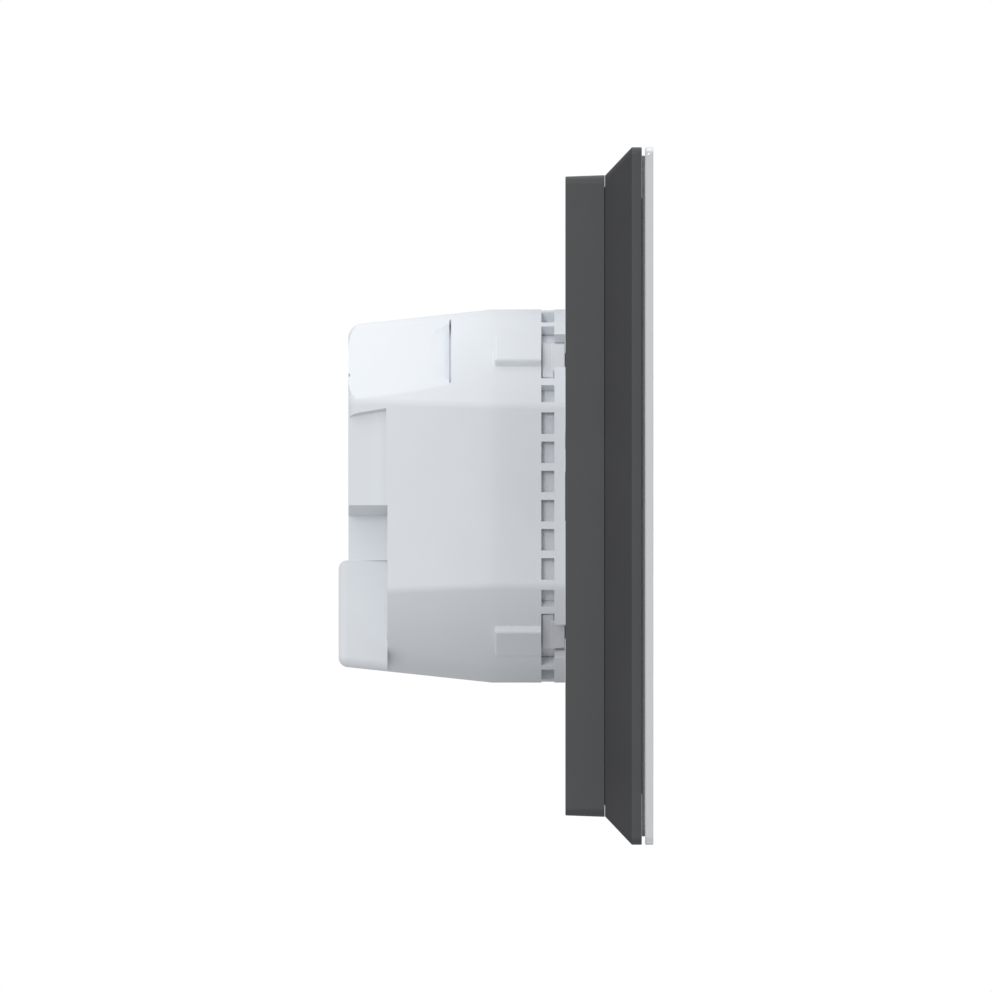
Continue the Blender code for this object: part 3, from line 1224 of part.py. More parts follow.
def display_module():
    """Small display in the sensor board's window, on a plastic holder, with its flat cable."""
    rear = TOUCH_FRONT + DISPLAY_THICKNESS
    half_x, half_z = DISPLAY_X / 2, DISPLAY_Z / 2
    low = (-half_x, TOUCH_FRONT, DISPLAY_CENTRE_Z - half_z)
    high = (half_x, rear, DISPLAY_CENTRE_Z + half_z)
    add_piece("display_module", mesh_from(box(low, high), "display_module"), CHIP_BLACK, PANEL)

    hold_x, hold_z = half_x + HOLDER_BORDER, half_z + HOLDER_BORDER
    seat = rear + SEAT_GAP
    low = (-hold_x, seat, DISPLAY_CENTRE_Z - hold_z)
    high = (hold_x, seat + HOLDER_THICKNESS, DISPLAY_CENTRE_Z + hold_z)
    holder = add_piece("display_holder", mesh_from(box(low, high), "display_holder"), PALE_PLASTIC, PANEL)
    legs = bmesh.new()
    leg = HOLDER_LEG
    for x, z in four_ways(hold_x - leg, hold_z - leg):
        low = (x - leg / 2, seat + HOLDER_THICKNESS - SEAT_GAP, DISPLAY_CENTRE_Z + z - leg / 2)
        high = (x + leg / 2, MAIN_BOARD_FRONT - SEAT_GAP, DISPLAY_CENTRE_Z + z + leg / 2)
        add_box(legs, low, high)
    join(holder, "legs", legs)

    drop = (KEYPAD_TOP + DISPLAY_CENTRE_Z - hold_z) / 2
    middle = (TOUCH_FRONT + rear) / 2 + SEAT_GAP
    bm = bmesh.new()
    path = [
        (middle, DISPLAY_CENTRE_Z - half_z - SEAT_GAP), (middle, drop), (MAIN_BOARD_FRONT - SLIP, drop),
    ]
    line = [bm.verts.new((-RIBBON_WIDTH / 2, y, z)) for y, z in path]
    edges = [bm.edges.new(pair) for pair in zip(line, line[1:])]
    lifted = bmesh.ops.extrude_edge_only(bm, edges=edges)["geom"]
    moved = [item for item in lifted if isinstance(item, bmesh.types.BMVert)]
    bmesh.ops.translate(bm, verts=moved, vec=(RIBBON_WIDTH, 0.0, 0.0))
    ribbon = add_piece("display_ribbon", mesh_from(bm, "display_ribbon"), FLEX_AMBER, PANEL)
    skin = ribbon.modifiers.new("sheet", "SOLIDIFY")
    skin.thickness = RIBBON_THICKNESS
    skin.offset = 0.0
    skin.use_even_offset = True


def on_main_board(name, material, centre, size, height):
    """A part that sits on the front of the main board, with a chamfered top."""
    seat = MAIN_BOARD_FRONT - SEAT_GAP
    (x, z), (size_x, size_z) = centre, size
    bm = box((x - size_x / 2, seat - height, z - size_z / 2), (x + size_x / 2, seat, z + size_z / 2))
    top = [edge for edge in bm.edges if all(vert.co.y < seat - height / 2 for vert in edge.verts)]
    bmesh.ops.bevel(bm, geom=top, offset=height * COMPONENT_CHAMFER, segments=1, affect="EDGES")
    return add_piece(name, mesh_from(bm, name), material, PANEL)


def board_components():
    on_main_board("processor", CHIP_BLACK, PROCESSOR_PLACE, PROCESSOR_SIZE, PROCESSOR_HEIGHT)
    on_main_board("radio_module", CAN_ALUMINIUM, RADIO_PLACE, RADIO_SIZE, RADIO_HEIGHT)
    radius, height, port = BUZZER_RADIUS, BUZZER_HEIGHT, BUZZER_PORT
    profile = [
        (0.0, -port), (port, -port), (port, 0.0), (radius, 0.0), (radius, -height), (0.0, -height),
    ]
    place = (BUZZER_PLACE[0], MAIN_BOARD_FRONT - SEAT_GAP - height, BUZZER_PLACE[1])
    turned("buzzer", profile, BLACK_PLASTIC, PANEL, place, True)


# ---------------------------------------------------------------- switches

def tamper_switch():
    """Spring plunger through the rear cover that feels when the panel leaves the wall."""
    rear = MAIN_BOARD_FRONT - SEAT_GAP
    front = rear - TAMPER_SWITCH_DEPTH
    half = TAMPER_SWITCH_SIDE / 2
    low, high = (SWITCH_X - half, front, TAMPER_Z - half), (SWITCH_X + half, rear, TAMPER_Z + half)
    switch = add_piece("tamper_switch", mesh_from(box(low, high), "tamper_switch"), BLACK_PLASTIC, PANEL)
    roof = front + OVERLAP
    bore = PLUNGER_FLANGE_RADIUS + SLIP
    cut(switch, "bore", rods([(SWITCH_X, TAMPER_Z)], bore, roof, rear + PAST))

    flange_rear = rear - SEAT_GAP / 2
    flange_front = flange_rear - PLUNGER_FLANGE
    tail_radius = SPRING_RADIUS - SPRING_WIRE - SLIP
    seat, front_seat = flange_rear - TAMPER_PROUD, flange_front - TAMPER_PROUD
    end = front_seat - PLUNGER_TAIL
    profile = [
        (0.0, 0.0), (PLUNGER_RADIUS - SLIP, 0.0), (PLUNGER_RADIUS, -SLIP), (PLUNGER_RADIUS, seat),
        (PLUNGER_FLANGE_RADIUS, seat), (PLUNGER_FLANGE_RADIUS, front_seat), (tail_radius, front_seat),
        (tail_radius, end), (0.0, end),
    ]
    origin = make_origin("tamper_plunger_origin", (SWITCH_X, TAMPER_PROUD, TAMPER_Z), PANEL)
    turned("tamper_plunger", profile, PALE_PLASTIC, origin, (0.0, 0.0, 0.0), False)

    start = flange_front - SEAT_GAP / 2 - SPRING_WIRE / 2
    end = roof + SEAT_GAP / 2 + SPRING_WIRE / 2
    curve = bpy.data.curves.new("tamper_spring", "CURVE")
    curve.dimensions = "3D"
    curve.bevel_depth = SPRING_WIRE / 2
    curve.bevel_resolution = 1
    curve.use_fill_caps = True
    coil = curve.splines.new("POLY")
    count = SPRING_TURNS * SPRING_STEPS
    coil.points.add(count)
    for i, point in enumerate(coil.points):
        angle = 2 * pi * i / SPRING_STEPS
        y = start + (end - start) * i / count
        point.co = (SPRING_RADIUS * cos(angle), y, SPRING_RADIUS * sin(angle), 1.0)
    curve.materials.append(SPRING_STEEL)
    spring = bpy.data.objects.new("tamper_spring", curve)
    spring.parent = PANEL
    spring.location = (SWITCH_X, 0.0, TAMPER_Z)
    PARTS.objects.link(spring)


def setup_button():
    """Tactile button on the back of the main board, pressed through the rear cover."""
    front = MAIN_BOARD_REAR + SEAT_GAP / 2
    rear = front + BUTTON_SWITCH_DEPTH
    half = BUTTON_SWITCH_SIDE / 2
    low, high = (SWITCH_X - half, front, BUTTON_Z - half), (SWITCH_X + half, rear, BUTTON_Z + half)
    switch = add_piece("setup_switch", mesh_from(box(low, high), "setup_switch"), BLACK_PLASTIC, PANEL)
    bore = BUTTON_FLANGE_RADIUS + HOLE_CLEARANCE
    cut(switch, "bore", rods([(SWITCH_X, BUTTON_Z)], bore, front + SLIP, rear + PAST))

    tip = FLOOR_REAR + BUTTON_PROUD
    neck = FLOOR_FRONT - SEAT_GAP / 2
    end = neck - tip - BUTTON_FLANGE
    profile = [
        (0.0, 0.0), (BUTTON_RADIUS, 0.0), (BUTTON_RADIUS, neck - tip), (BUTTON_FLANGE_RADIUS, neck - tip),
        (BUTTON_FLANGE_RADIUS, end), (0.0, end),
    ]
    origin = make_origin("setup_button_origin", (SWITCH_X, tip, BUTTON_Z), PANEL)
    turned("setup_button", profile, PALE_PLASTIC, origin, (0.0, 0.0, 0.0), False)


# ---------------------------------------------------------------- assembly

COVER_ORIGIN = make_origin("terminal_cover_origin", (0.0, 0.0, 0.0), WALL_UNIT)

rear_housing()
terminal_cover(COVER_ORIGIN)
terminal_block()
terminal_clamps()
terminal_screws()
inner_carrier()
support_ring()
ring_screws()
interface_board()
plug_header()
header_pins()
board_link()
power_board()
transformer()
capacitor()
choke()

rear_cover()
bezel_frame()
glass_carrier()
front_glass()
case_screws()
panel_clips()
main_board()
board_screws()
board_socket()
light_guide()
touch_board()
legend_film()
display_module()
board_components()
tamper_switch()
setup_button()
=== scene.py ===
# A wall keypad panel: a glass-fronted touch panel plugged onto a white flush-box unit.
# X runs across the panel, Z up and +Y into the wall. The wall's surface is Y = 0.
from math import acos, atan2, cos, pi, radians, sin, sqrt, tan

import bmesh
import bpy
from mathutils import Matrix, Vector


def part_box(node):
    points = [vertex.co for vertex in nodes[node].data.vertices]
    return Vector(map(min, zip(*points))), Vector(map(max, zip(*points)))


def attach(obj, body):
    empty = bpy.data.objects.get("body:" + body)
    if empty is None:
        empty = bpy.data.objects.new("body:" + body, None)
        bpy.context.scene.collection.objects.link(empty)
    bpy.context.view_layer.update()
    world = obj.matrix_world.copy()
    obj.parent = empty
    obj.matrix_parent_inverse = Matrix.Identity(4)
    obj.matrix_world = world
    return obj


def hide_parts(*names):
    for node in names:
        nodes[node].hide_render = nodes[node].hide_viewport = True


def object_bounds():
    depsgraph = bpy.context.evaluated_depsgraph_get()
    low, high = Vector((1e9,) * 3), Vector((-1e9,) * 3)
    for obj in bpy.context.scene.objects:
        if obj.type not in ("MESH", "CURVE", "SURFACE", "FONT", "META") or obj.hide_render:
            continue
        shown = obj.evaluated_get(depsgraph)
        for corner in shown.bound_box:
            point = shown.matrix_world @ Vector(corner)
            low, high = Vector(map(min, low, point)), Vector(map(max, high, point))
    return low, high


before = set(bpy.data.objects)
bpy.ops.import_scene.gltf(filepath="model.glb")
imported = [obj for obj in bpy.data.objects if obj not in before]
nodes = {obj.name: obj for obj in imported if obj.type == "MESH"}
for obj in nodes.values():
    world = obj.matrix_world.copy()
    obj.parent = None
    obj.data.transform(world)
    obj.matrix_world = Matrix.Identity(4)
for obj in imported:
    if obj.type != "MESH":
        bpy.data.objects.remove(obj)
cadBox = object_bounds()
print("frame loaded:", len(nodes), "nodes")

mm = 0.001


def span(name):
    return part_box(name)


# Mesh helpers

def thing(name, bm):                                    # links an object that holds the mesh bm
    bmesh.ops.recalc_face_normals(bm, faces=bm.faces)
    mesh = bpy.data.meshes.new(name)
    bm.to_mesh(mesh)
    bm.free()
    made = bpy.data.objects.new(name, mesh)
    bpy.context.scene.collection.objects.link(made)
    return made


def settle(piece):                                      # applies the modifiers on a piece
    graph = bpy.context.evaluated_depsgraph_get()
    done = bpy.data.meshes.new_from_object(piece.evaluated_get(graph))
    old = piece.data
    piece.modifiers.clear()
    piece.data = done
    bpy.data.meshes.remove(old)


def combine(piece, operation, *forms):
    for bm in forms:
        tool = thing(piece.name + "Tool", bm)
        step = piece.modifiers.new("combine", "BOOLEAN")
        step.operation, step.object, step.solver = operation, tool, "EXACT"
        settle(piece)
        bpy.data.objects.remove(tool, do_unlink=True)


def cut(piece, *forms):
    combine(piece, "DIFFERENCE", *forms)


def join(piece, *forms):
    combine(piece, "UNION", *forms)


def clean(piece):                                       # drops slivers and doubled points
    bm = bmesh.new()
    bm.from_mesh(piece.data)
    bmesh.ops.remove_doubles(bm, verts=bm.verts, dist=2e-6)
    bmesh.ops.dissolve_degenerate(bm, edges=bm.edges, dist=2e-6)
    bm.to_mesh(piece.data)
    bm.free()


def soften(piece, width, steps=2, angle=28):            # rounds every edge sharper than angle
    clean(piece)
    edge = piece.modifiers.new("edge", "BEVEL")
    edge.width, edge.segments, edge.limit_method, edge.angle_limit = width, steps, "ANGLE", radians(angle)
    edge.use_clamp_overlap = True
    edge.harden_normals = False
    edge.miter_outer = "MITER_ARC"
    settle(piece)


def polish(piece, angle=32):                            # smooth shading, with flat faces kept flat
    clean(piece)
    piece.data.shade_smooth()
    piece.data.set_sharp_from_angle(angle=radians(angle))
    weigh = piece.modifiers.new("normals", "WEIGHTED_NORMAL")
    weigh.keep_sharp = True
    weigh.weight = 70
    settle(piece)


def cube(bm, low, high, turn=Matrix.Identity(4), bevel=0.0, steps=3):
    low, high = Vector(low), Vector(high)
    fit = Matrix.Translation((low + high) / 2) @ Matrix.Diagonal((*(high - low), 1.0))
    verts = bmesh.ops.create_cube(bm, size=1.0, matrix=fit)["verts"]
    if bevel:
        edges = {edge for vert in verts for edge in vert.link_edges}
        rounded = bmesh.ops.bevel(bm, geom=list(edges), offset=bevel, segments=steps, profile=0.5,
                                  affect="EDGES")
        verts = list({vert for face in rounded["faces"] for vert in face.verts})
    bmesh.ops.transform(bm, verts=verts, matrix=turn)
    return verts


def block(low, high, turn=Matrix.Identity(4), bevel=0.0, steps=3):
    bm = bmesh.new()
    cube(bm, low, high, turn, bevel, steps)
    return bm


def loft(loops, closed=False):                          # skins outlines that have equal counts
    bm = bmesh.new()
    rings = [[bm.verts.new(point) for point in loop] for loop in loops]
    pairs = list(zip(rings, rings[1:])) + ([(rings[-1], rings[0])] if closed else [])
    for ring, following in pairs:
        for i in range(len(ring)):
            j = (i + 1) % len(ring)
            bm.faces.new((ring[i], ring[j], following[j], following[i]))
    if not closed:
        bm.faces.new(rings[0])
        bm.faces.new(rings[-1])
    return bm


def hull(points):
    bm = bmesh.new()
    verts = [bm.verts.new(point) for point in points]
    made = bmesh.ops.convex_hull(bm, input=verts)
    loose = [item for item in made["geom_interior"] if isinstance(item, bmesh.types.BMVert)]
    bmesh.ops.delete(bm, geom=loose, context="VERTS")
    return bm


def squareLoop(halfX, halfZ, y, radius, steps=8, middleZ=0.0):
    points = []
    for corner in range(4):
        sideX, sideZ = (1, -1, -1, 1)[corner], (1, 1, -1, -1)[corner]
        for step in range(steps + 1):
            angle = (corner + step / steps) * pi / 2
            x = sideX * (halfX - radius) + radius * cos(angle)
            points.append(Vector((x, y, middleZ + sideZ * (halfZ - radius) + radius * sin(angle))))
    return points


def squareForm(sections, radius, closed=False):         # sections are (half side, y)
    return loft([squareLoop(half, half, y, max(radius + half - sections[0][0], 0.0003), 8)
                 for half, y in sections], closed)


def rod(x, z, radius, yLow, yHigh, sides=40, radiusHigh=None):
    bm = bmesh.new()
    addRod(bm, x, z, radius, yLow, yHigh, sides, radiusHigh)
    return bm


def addRod(bm, x, z, radius, yLow, yHigh, sides=40, radiusHigh=None):
    place = Matrix.Translation((x, (yLow + yHigh) / 2, z)) @ Matrix.Rotation(-pi / 2, 4, "X")
    bmesh.ops.create_cone(bm, cap_ends=True, segments=sides, radius1=radius,
                          radius2=radius if radiusHigh is None else radiusHigh,
                          depth=yHigh - yLow, matrix=place)


def fourWays(x, z):
    return [(x, z), (-x, z), (-x, -z), (x, -z)]


def lathe(name, profile, place, toRear, sides=48):      # profile is (radius, height) from the tip
    bm = bmesh.new()
    turn = Matrix.Translation(place) @ Matrix.Rotation(-pi / 2 if toRear else pi / 2, 4, "X")
    rings = []
    for radius, height in profile:
        if radius < 1e-6:
            rings.append([bm.verts.new(turn @ Vector((0, 0, height)))])
            continue
        rings.append([bm.verts.new(turn @ Vector((radius * cos(2 * pi * i / sides),
                                                  radius * sin(2 * pi * i / sides), height)))
                      for i in range(sides)])
    for ring, following in zip(rings, rings[1:]):
        for i in range(sides):
            j = (i + 1) % sides
            if len(ring) == 1:
                bm.faces.new((ring[0], following[j], following[i]))
            elif len(following) == 1:
                bm.faces.new((ring[i], ring[j], following[0]))
            else:
                bm.faces.new((ring[i], ring[j], following[j], following[i]))
    return thing(name, bm)


def arc(centre, radius, start, end, steps):
    return [(centre[0] + radius * cos(start + (end - start) * i / steps),
             centre[1] + radius * sin(start + (end - start) * i / steps)) for i in range(steps + 1)]


def curveMesh(curve, place):                            # a curve's filled shape, put in its place
    holder = bpy.data.objects.new(curve.name, curve)
    bpy.context.scene.collection.objects.link(holder)
    holder.matrix_world = place
    bpy.context.view_layer.update()
    graph = bpy.context.evaluated_depsgraph_get()
    made = bpy.data.meshes.new_from_object(holder.evaluated_get(graph))
    made.transform(holder.matrix_world)
    bpy.data.objects.remove(holder, do_unlink=True)
    return made


def flatSheet(name, outlines, yLow, yHigh, bevel=0.0):  # a plate cut from outlines in X and Z
    curve = bpy.data.curves.new(name, "CURVE")
    curve.dimensions, curve.fill_mode = "2D", "BOTH"
    curve.extrude = (yHigh - yLow) / 2 - bevel
    curve.bevel_depth, curve.bevel_resolution, curve.offset = bevel, 1, -bevel
    for outline in outlines:
        line = curve.splines.new("POLY")
        line.points.add(len(outline) - 1)
        for point, (x, z) in zip(line.points, outline):
            point.co = (x, z, 0.0, 1.0)
        line.use_cyclic_u = True
    bm = bmesh.new()
    place = Matrix.Translation((0, (yLow + yHigh) / 2, 0)) @ Matrix.Rotation(pi / 2, 4, "X")
    bm.from_mesh(curveMesh(curve, place))
    bmesh.ops.remove_doubles(bm, verts=bm.verts, dist=1e-6)
    return thing(name, bm)


def roundRect(x, z, halfX, halfZ, radius, steps=8):
    return [(point.x + x, point.z) for point in squareLoop(halfX, halfZ, 0.0, radius, steps, z)]


def circle(x, z, radius, sides=32):
    return [(x + radius * cos(2 * pi * i / sides), z + radius * sin(2 * pi * i / sides)) for i in range(sides)]


# Shader helpers

class Value:                                            # a node's output, used in plain sums
    def __init__(self, paint, socket):
        self.paint, self.socket = paint, socket

    def does(self, operation, first, second=0.0):
        return self.paint.node("ShaderNodeMath", {"operation": operation}, {0: first, 1: second})

    def __add__(self, other): return self.does("ADD", self, other)
    def __radd__(self, other): return self.does("ADD", other, self)
    def __sub__(self, other): return self.does("SUBTRACT", self, other)
    def __rsub__(self, other): return self.does("SUBTRACT", other, self)
    def __mul__(self, other): return self.does("MULTIPLY", self, other)
    def __rmul__(self, other): return self.does("MULTIPLY", other, self)
    def __truediv__(self, other): return self.does("DIVIDE", self, other)
    def __rtruediv__(self, other): return self.does("DIVIDE", other, self)
    def __pow__(self, other): return self.does("POWER", self, other)
    def __gt__(self, other): return self.does("GREATER_THAN", self, other)
    def __lt__(self, other): return self.does("LESS_THAN", self, other)
    def __abs__(self): return self.does("ABSOLUTE", self)
    def highest(self, other): return self.does("MAXIMUM", self, other)
    def lowest(self, other): return self.does("MINIMUM", self, other)


class Paint:                                            # one material and its nodes
    def __init__(self, name, world=None):
        self.material = world or bpy.data.materials.new(name)
        self.material.use_nodes = True
        self.tree = self.material.node_tree
        self.tree.nodes.clear()
        self.place = self.node("ShaderNodeTexCoord", output="Generated" if world else "Object")

    def node(self, kind, settings=None, inputs=None, output=0):
        made = self.tree.nodes.new(kind)
        for name, value in (settings or {}).items():
            if name == "stops":
                while len(made.color_ramp.elements) < len(value):
                    made.color_ramp.elements.new(0.5)
                for stop, (position, colour) in zip(made.color_ramp.elements, value):
                    stop.position, stop.color = position, (*colour, 1.0)
            else:
                setattr(made, name, value)
        for name, value in (inputs or {}).items():
            if isinstance(value, Value):
                self.tree.links.new(value.socket, made.inputs[name])
            else:
                made.inputs[name].default_value = value
        return Value(self, made.outputs[output])

    def noise(self, scale, detail=2.0, rough=0.5, place=None):
        return self.node("ShaderNodeTexNoise", {}, {
            "Vector": place or self.place, "Scale": scale, "Detail": detail, "Roughness": rough})

    def stretched(self, x, y, z):                       # object coordinates, scaled along each axis
        return self.node("ShaderNodeVectorMath", {"operation": "MULTIPLY"}, {0: self.place, 1: (x, y, z)})

    def axes(self):
        return [self.node("ShaderNodeSeparateXYZ", {}, {0: self.place}, output=i) for i in range(3)]

    def blend(self, factor, first, second):
        def full(colour): return (*colour, 1.0) if isinstance(colour, tuple) and len(colour) == 3 else colour
        return self.node("ShaderNodeMix", {"data_type": "RGBA"},
                         {0: factor, 6: full(first), 7: full(second)}, output=2)

    def ramp(self, value, low, high):                   # 0 below low, 1 above high, eased between
        return self.node("ShaderNodeMapRange", {"interpolation_type": "SMOOTHSTEP"},
                         {"Value": value, "From Min": low, "From Max": high})

    def edges(self, radius, sharp=0.35):                # 1 along edges, 0 on open faces
        normal = self.node("ShaderNodeNewGeometry", output="Normal")
        rounded = self.node("ShaderNodeBevel", {"samples": 4}, {"Radius": radius})
        level = self.node("ShaderNodeVectorMath", {"operation": "DOT_PRODUCT"},
                          {0: normal, 1: rounded}, output="Value")
        return self.ramp(1 - level, 0.0, sharp)

    def finish(self, colour, rough, height=None, bump=0.0001, strength=0.3, **fixed):
        inputs = {"Base Color": colour, "Roughness": rough}
        if height is not None:
            inputs["Normal"] = self.node("ShaderNodeBump", {}, {
                "Height": height, "Strength": strength, "Distance": bump})
        for name, value in fixed.items():
            inputs[name] = value
        shader = self.node("ShaderNodeBsdfPrincipled", {}, inputs)
        self.close(shader, "ShaderNodeOutputMaterial")
        return self.material

    def close(self, shader, kind):
        end = self.tree.nodes.new(kind)
        self.tree.links.new(shader.socket, end.inputs[0])


def mouldedPlastic(name, look):                         # spark-eroded plastic with faint flow marks, and edges painted lighter: part rubbed wear, part painted highlight
    paint = Paint(name)
    cloud = paint.noise(look["cloud"], 3.0, 0.55)
    flow = paint.noise(look["cloud"] * 2, 2.0, 0.5, paint.stretched(1.0, 0.25, 1.0))
    grain = paint.noise(look["grain"], 2.0, 0.6)
    edge = paint.edges(look["edgeWidth"])
    body = paint.blend(paint.ramp(cloud, 0.35, 0.65), look["colour"], look["second"])
    body = paint.blend(paint.ramp(flow, 0.5, 0.8) * 0.35, body, look["flow"])
    # Lighter colour along every edge: part rubbed wear, part painted highlight.
    body = paint.blend(edge * look["edgeWearAndSheenShare"], body, look["edge"])
    rough = look["rough"] + (grain - 0.5) * 0.10 + (cloud - 0.5) * 0.08 - edge * 0.06
    return paint.finish(body, rough, grain + flow * 0.4, look["depth"], look["strength"],
                        **{"IOR": 1.5, "Specular IOR Level": look["shine"]})


def drawnMetal(name, look):                             # plated or rolled metal, brushed one way
    paint = Paint(name)
    lines = paint.noise(look["lines"], 2.0, 0.6, paint.stretched(*look["along"]))
    spangle = paint.node("ShaderNodeTexVoronoi", {"feature": "F1"},
                         {"Vector": paint.place, "Scale": look["spangle"]}, output="Color")
    patch = paint.node("ShaderNodeSeparateColor", {}, {0: spangle})
    stain = paint.noise(90.0, 3.0, 0.6)
    body = paint.blend(patch * 0.5 + lines * 0.4, look["colour"], look["second"])
    body = paint.blend(paint.ramp(stain, 0.52, 0.75) * 0.35, body, look["stain"])
    rough = look["rough"] + (lines - 0.5) * 0.18 + patch * 0.06
    return paint.finish(body, rough, lines, look["depth"], 0.25, **{"Metallic": look["metal"]})


def boardLacquer(name):                                 # green solder mask over copper tracks
    paint = Paint(name)
    across = paint.node("ShaderNodeTexWave", {"wave_type": "BANDS", "bands_direction": "X"}, {
        "Vector": paint.place, "Scale": 210.0, "Distortion": 6.0, "Detail": 1.0, "Detail Scale": 40.0})
    upward = paint.node("ShaderNodeTexWave", {"wave_type": "BANDS", "bands_direction": "Z"}, {
        "Vector": paint.place, "Scale": 180.0, "Distortion": 5.0, "Detail": 1.0, "Detail Scale": 40.0})
    region = paint.ramp(paint.noise(130.0, 0.0), 0.48, 0.52)
    track = paint.ramp(region * across + (1 - region) * upward, 0.58, 0.66)
    ring = paint.node("ShaderNodeTexVoronoi", {"feature": "F1"},
                      {"Vector": paint.stretched(1.0, 0.0, 1.0), "Scale": 260.0}, output="Distance")
    via = paint.ramp(0.16 - ring, 0.0, 0.03)
    body = paint.blend(track, (0.010, 0.085, 0.036), (0.020, 0.150, 0.060))
    body = paint.blend(via, body, (0.55, 0.50, 0.36))
    rough = 0.32 + paint.noise(700.0) * 0.12 - via * 0.05
    return paint.finish(body, rough, track * 0.7 + via, 0.00003, 0.5, **{"Coat Weight": 0.3})


def wovenWinding(name):                                 # enamelled wire, turn beside turn
    paint = Paint(name)
    turns = paint.node("ShaderNodeTexWave", {"wave_type": "BANDS", "bands_direction": "Y"}, {
        "Vector": paint.place, "Scale": 1600.0, "Distortion": 0.6, "Detail": 1.0})
    body = paint.blend(turns, (0.16, 0.045, 0.012), (0.62, 0.27, 0.10))
    rough = 0.28 + paint.noise(900.0) * 0.2
    return paint.finish(body, rough, turns, 0.00008, 0.8, **{"Metallic": 0.75})


# Colours and grain of each moulding
# The edge colour and its share give a lighter band along edges: part rubbed wear, part painted highlight.
whiteLook = dict(colour=(0.735, 0.765, 0.80), second=(0.752, 0.778, 0.81), flow=(0.715, 0.75, 0.79),
                 edge=(0.80, 0.81, 0.825), edgeWearAndSheenShare=0.35, edgeWidth=0.0003, rough=0.48, shine=0.30,
                 cloud=55.0, grain=2600.0, depth=0.00003, strength=0.22)
greyLook = dict(colour=(0.056, 0.060, 0.061), second=(0.061, 0.064, 0.065), flow=(0.052, 0.055, 0.056),
                edge=(0.125, 0.129, 0.132), edgeWearAndSheenShare=0.5, edgeWidth=0.00022, rough=0.46, shine=0.35,
                cloud=60.0, grain=3200.0, depth=0.00003, strength=0.35)


def variant(look, **changes):
    return {**look, **changes}


housingWhite = mouldedPlastic("housingWhite", whiteLook)
insertWhite = mouldedPlastic("insertWhite", variant(
    whiteLook, colour=(0.71, 0.73, 0.76), second=(0.73, 0.745, 0.77), flow=(0.70, 0.72, 0.75),
    rough=0.5, grain=3400.0))
frameGrey = mouldedPlastic("frameGrey", greyLook)
flareGrey = mouldedPlastic("flareGrey", variant(
    greyLook, colour=(0.056, 0.056, 0.060), second=(0.060, 0.060, 0.064), flow=(0.053, 0.053, 0.057),
    rough=0.6, shine=0.12))
# The neck is painted a far lighter grey than the frame moulding: painted light that fills the shade of its
# narrow recessed gap.
neckGrey = mouldedPlastic("neckGrey", variant(
    greyLook, colour=(0.40, 0.405, 0.41), second=(0.41, 0.415, 0.42), flow=(0.39, 0.395, 0.4), rough=0.4))
blackMoulding = mouldedPlastic("blackMoulding", variant(
    greyLook, colour=(0.018, 0.018, 0.019), second=(0.022, 0.022, 0.023), flow=(0.016, 0.016, 0.017),
    edge=(0.05, 0.05, 0.052), rough=0.5))
terminalGrey = mouldedPlastic("terminalGrey", variant(
    greyLook, colour=(0.15, 0.17, 0.18), second=(0.17, 0.19, 0.20), flow=(0.14, 0.16, 0.17), rough=0.52))
paleMoulding = mouldedPlastic("paleMoulding", variant(
    whiteLook, colour=(0.68, 0.68, 0.66), second=(0.72, 0.72, 0.70), flow=(0.66, 0.66, 0.64), rough=0.5))
filmWhite = mouldedPlastic("filmWhite", variant(
    whiteLook, colour=(0.76, 0.76, 0.755), second=(0.78, 0.78, 0.775), rough=0.38, grain=5000.0))
flexAmber = mouldedPlastic("flexAmber", variant(
    greyLook, colour=(0.33, 0.14, 0.025), second=(0.38, 0.17, 0.035), flow=(0.28, 0.11, 0.02),
    edge=(0.5, 0.26, 0.07), rough=0.3))
chipBlack = mouldedPlastic("chipBlack", variant(
    greyLook, colour=(0.014, 0.014, 0.015), second=(0.018, 0.018, 0.018), edge=(0.035, 0.035, 0.035),
    rough=0.38))
zincPlate = drawnMetal("zincPlate", dict(
    colour=(0.62, 0.63, 0.64), second=(0.50, 0.51, 0.53), stain=(0.44, 0.45, 0.46), lines=60.0,
    along=(1.0, 1.0, 14.0), spangle=420.0, rough=0.34, metal=0.95, depth=0.00001))
screwZinc = drawnMetal("screwZinc", dict(
    colour=(0.66, 0.67, 0.68), second=(0.55, 0.56, 0.58), stain=(0.48, 0.48, 0.47), lines=500.0,
    along=(1.0, 5.0, 1.0), spangle=900.0, rough=0.28, metal=1.0, depth=0.00001))
springBright = drawnMetal("springBright", dict(
    colour=(0.55, 0.55, 0.56), second=(0.46, 0.46, 0.48), stain=(0.42, 0.38, 0.33), lines=300.0,
    along=(1.0, 6.0, 1.0), spangle=800.0, rough=0.22, metal=1.0, depth=0.00001))
brassPin = drawnMetal("brassPin", dict(
    colour=(0.78, 0.56, 0.24), second=(0.66, 0.45, 0.18), stain=(0.45, 0.28, 0.12), lines=400.0,
    along=(1.0, 5.0, 1.0), spangle=700.0, rough=0.26, metal=1.0, depth=0.00001))
canSilver = drawnMetal("canSilver", dict(
    colour=(0.72, 0.73, 0.74), second=(0.62, 0.63, 0.65), stain=(0.55, 0.55, 0.56), lines=260.0,
    along=(1.0, 8.0, 1.0), spangle=600.0, rough=0.24, metal=1.0, depth=0.00001))
boardGreen = boardLacquer("boardGreen")
copperWinding = wovenWinding("copperWinding")
print("materials made:", len(bpy.data.materials))


def done(piece, material, body, slotName, *stoodFor):   # gives a piece its finish and its body
    piece.data.materials.clear()
    piece.data.materials.append(material)
    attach(piece, body)
    if stoodFor:
        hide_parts(*stoodFor)
    return piece


# The flush housing

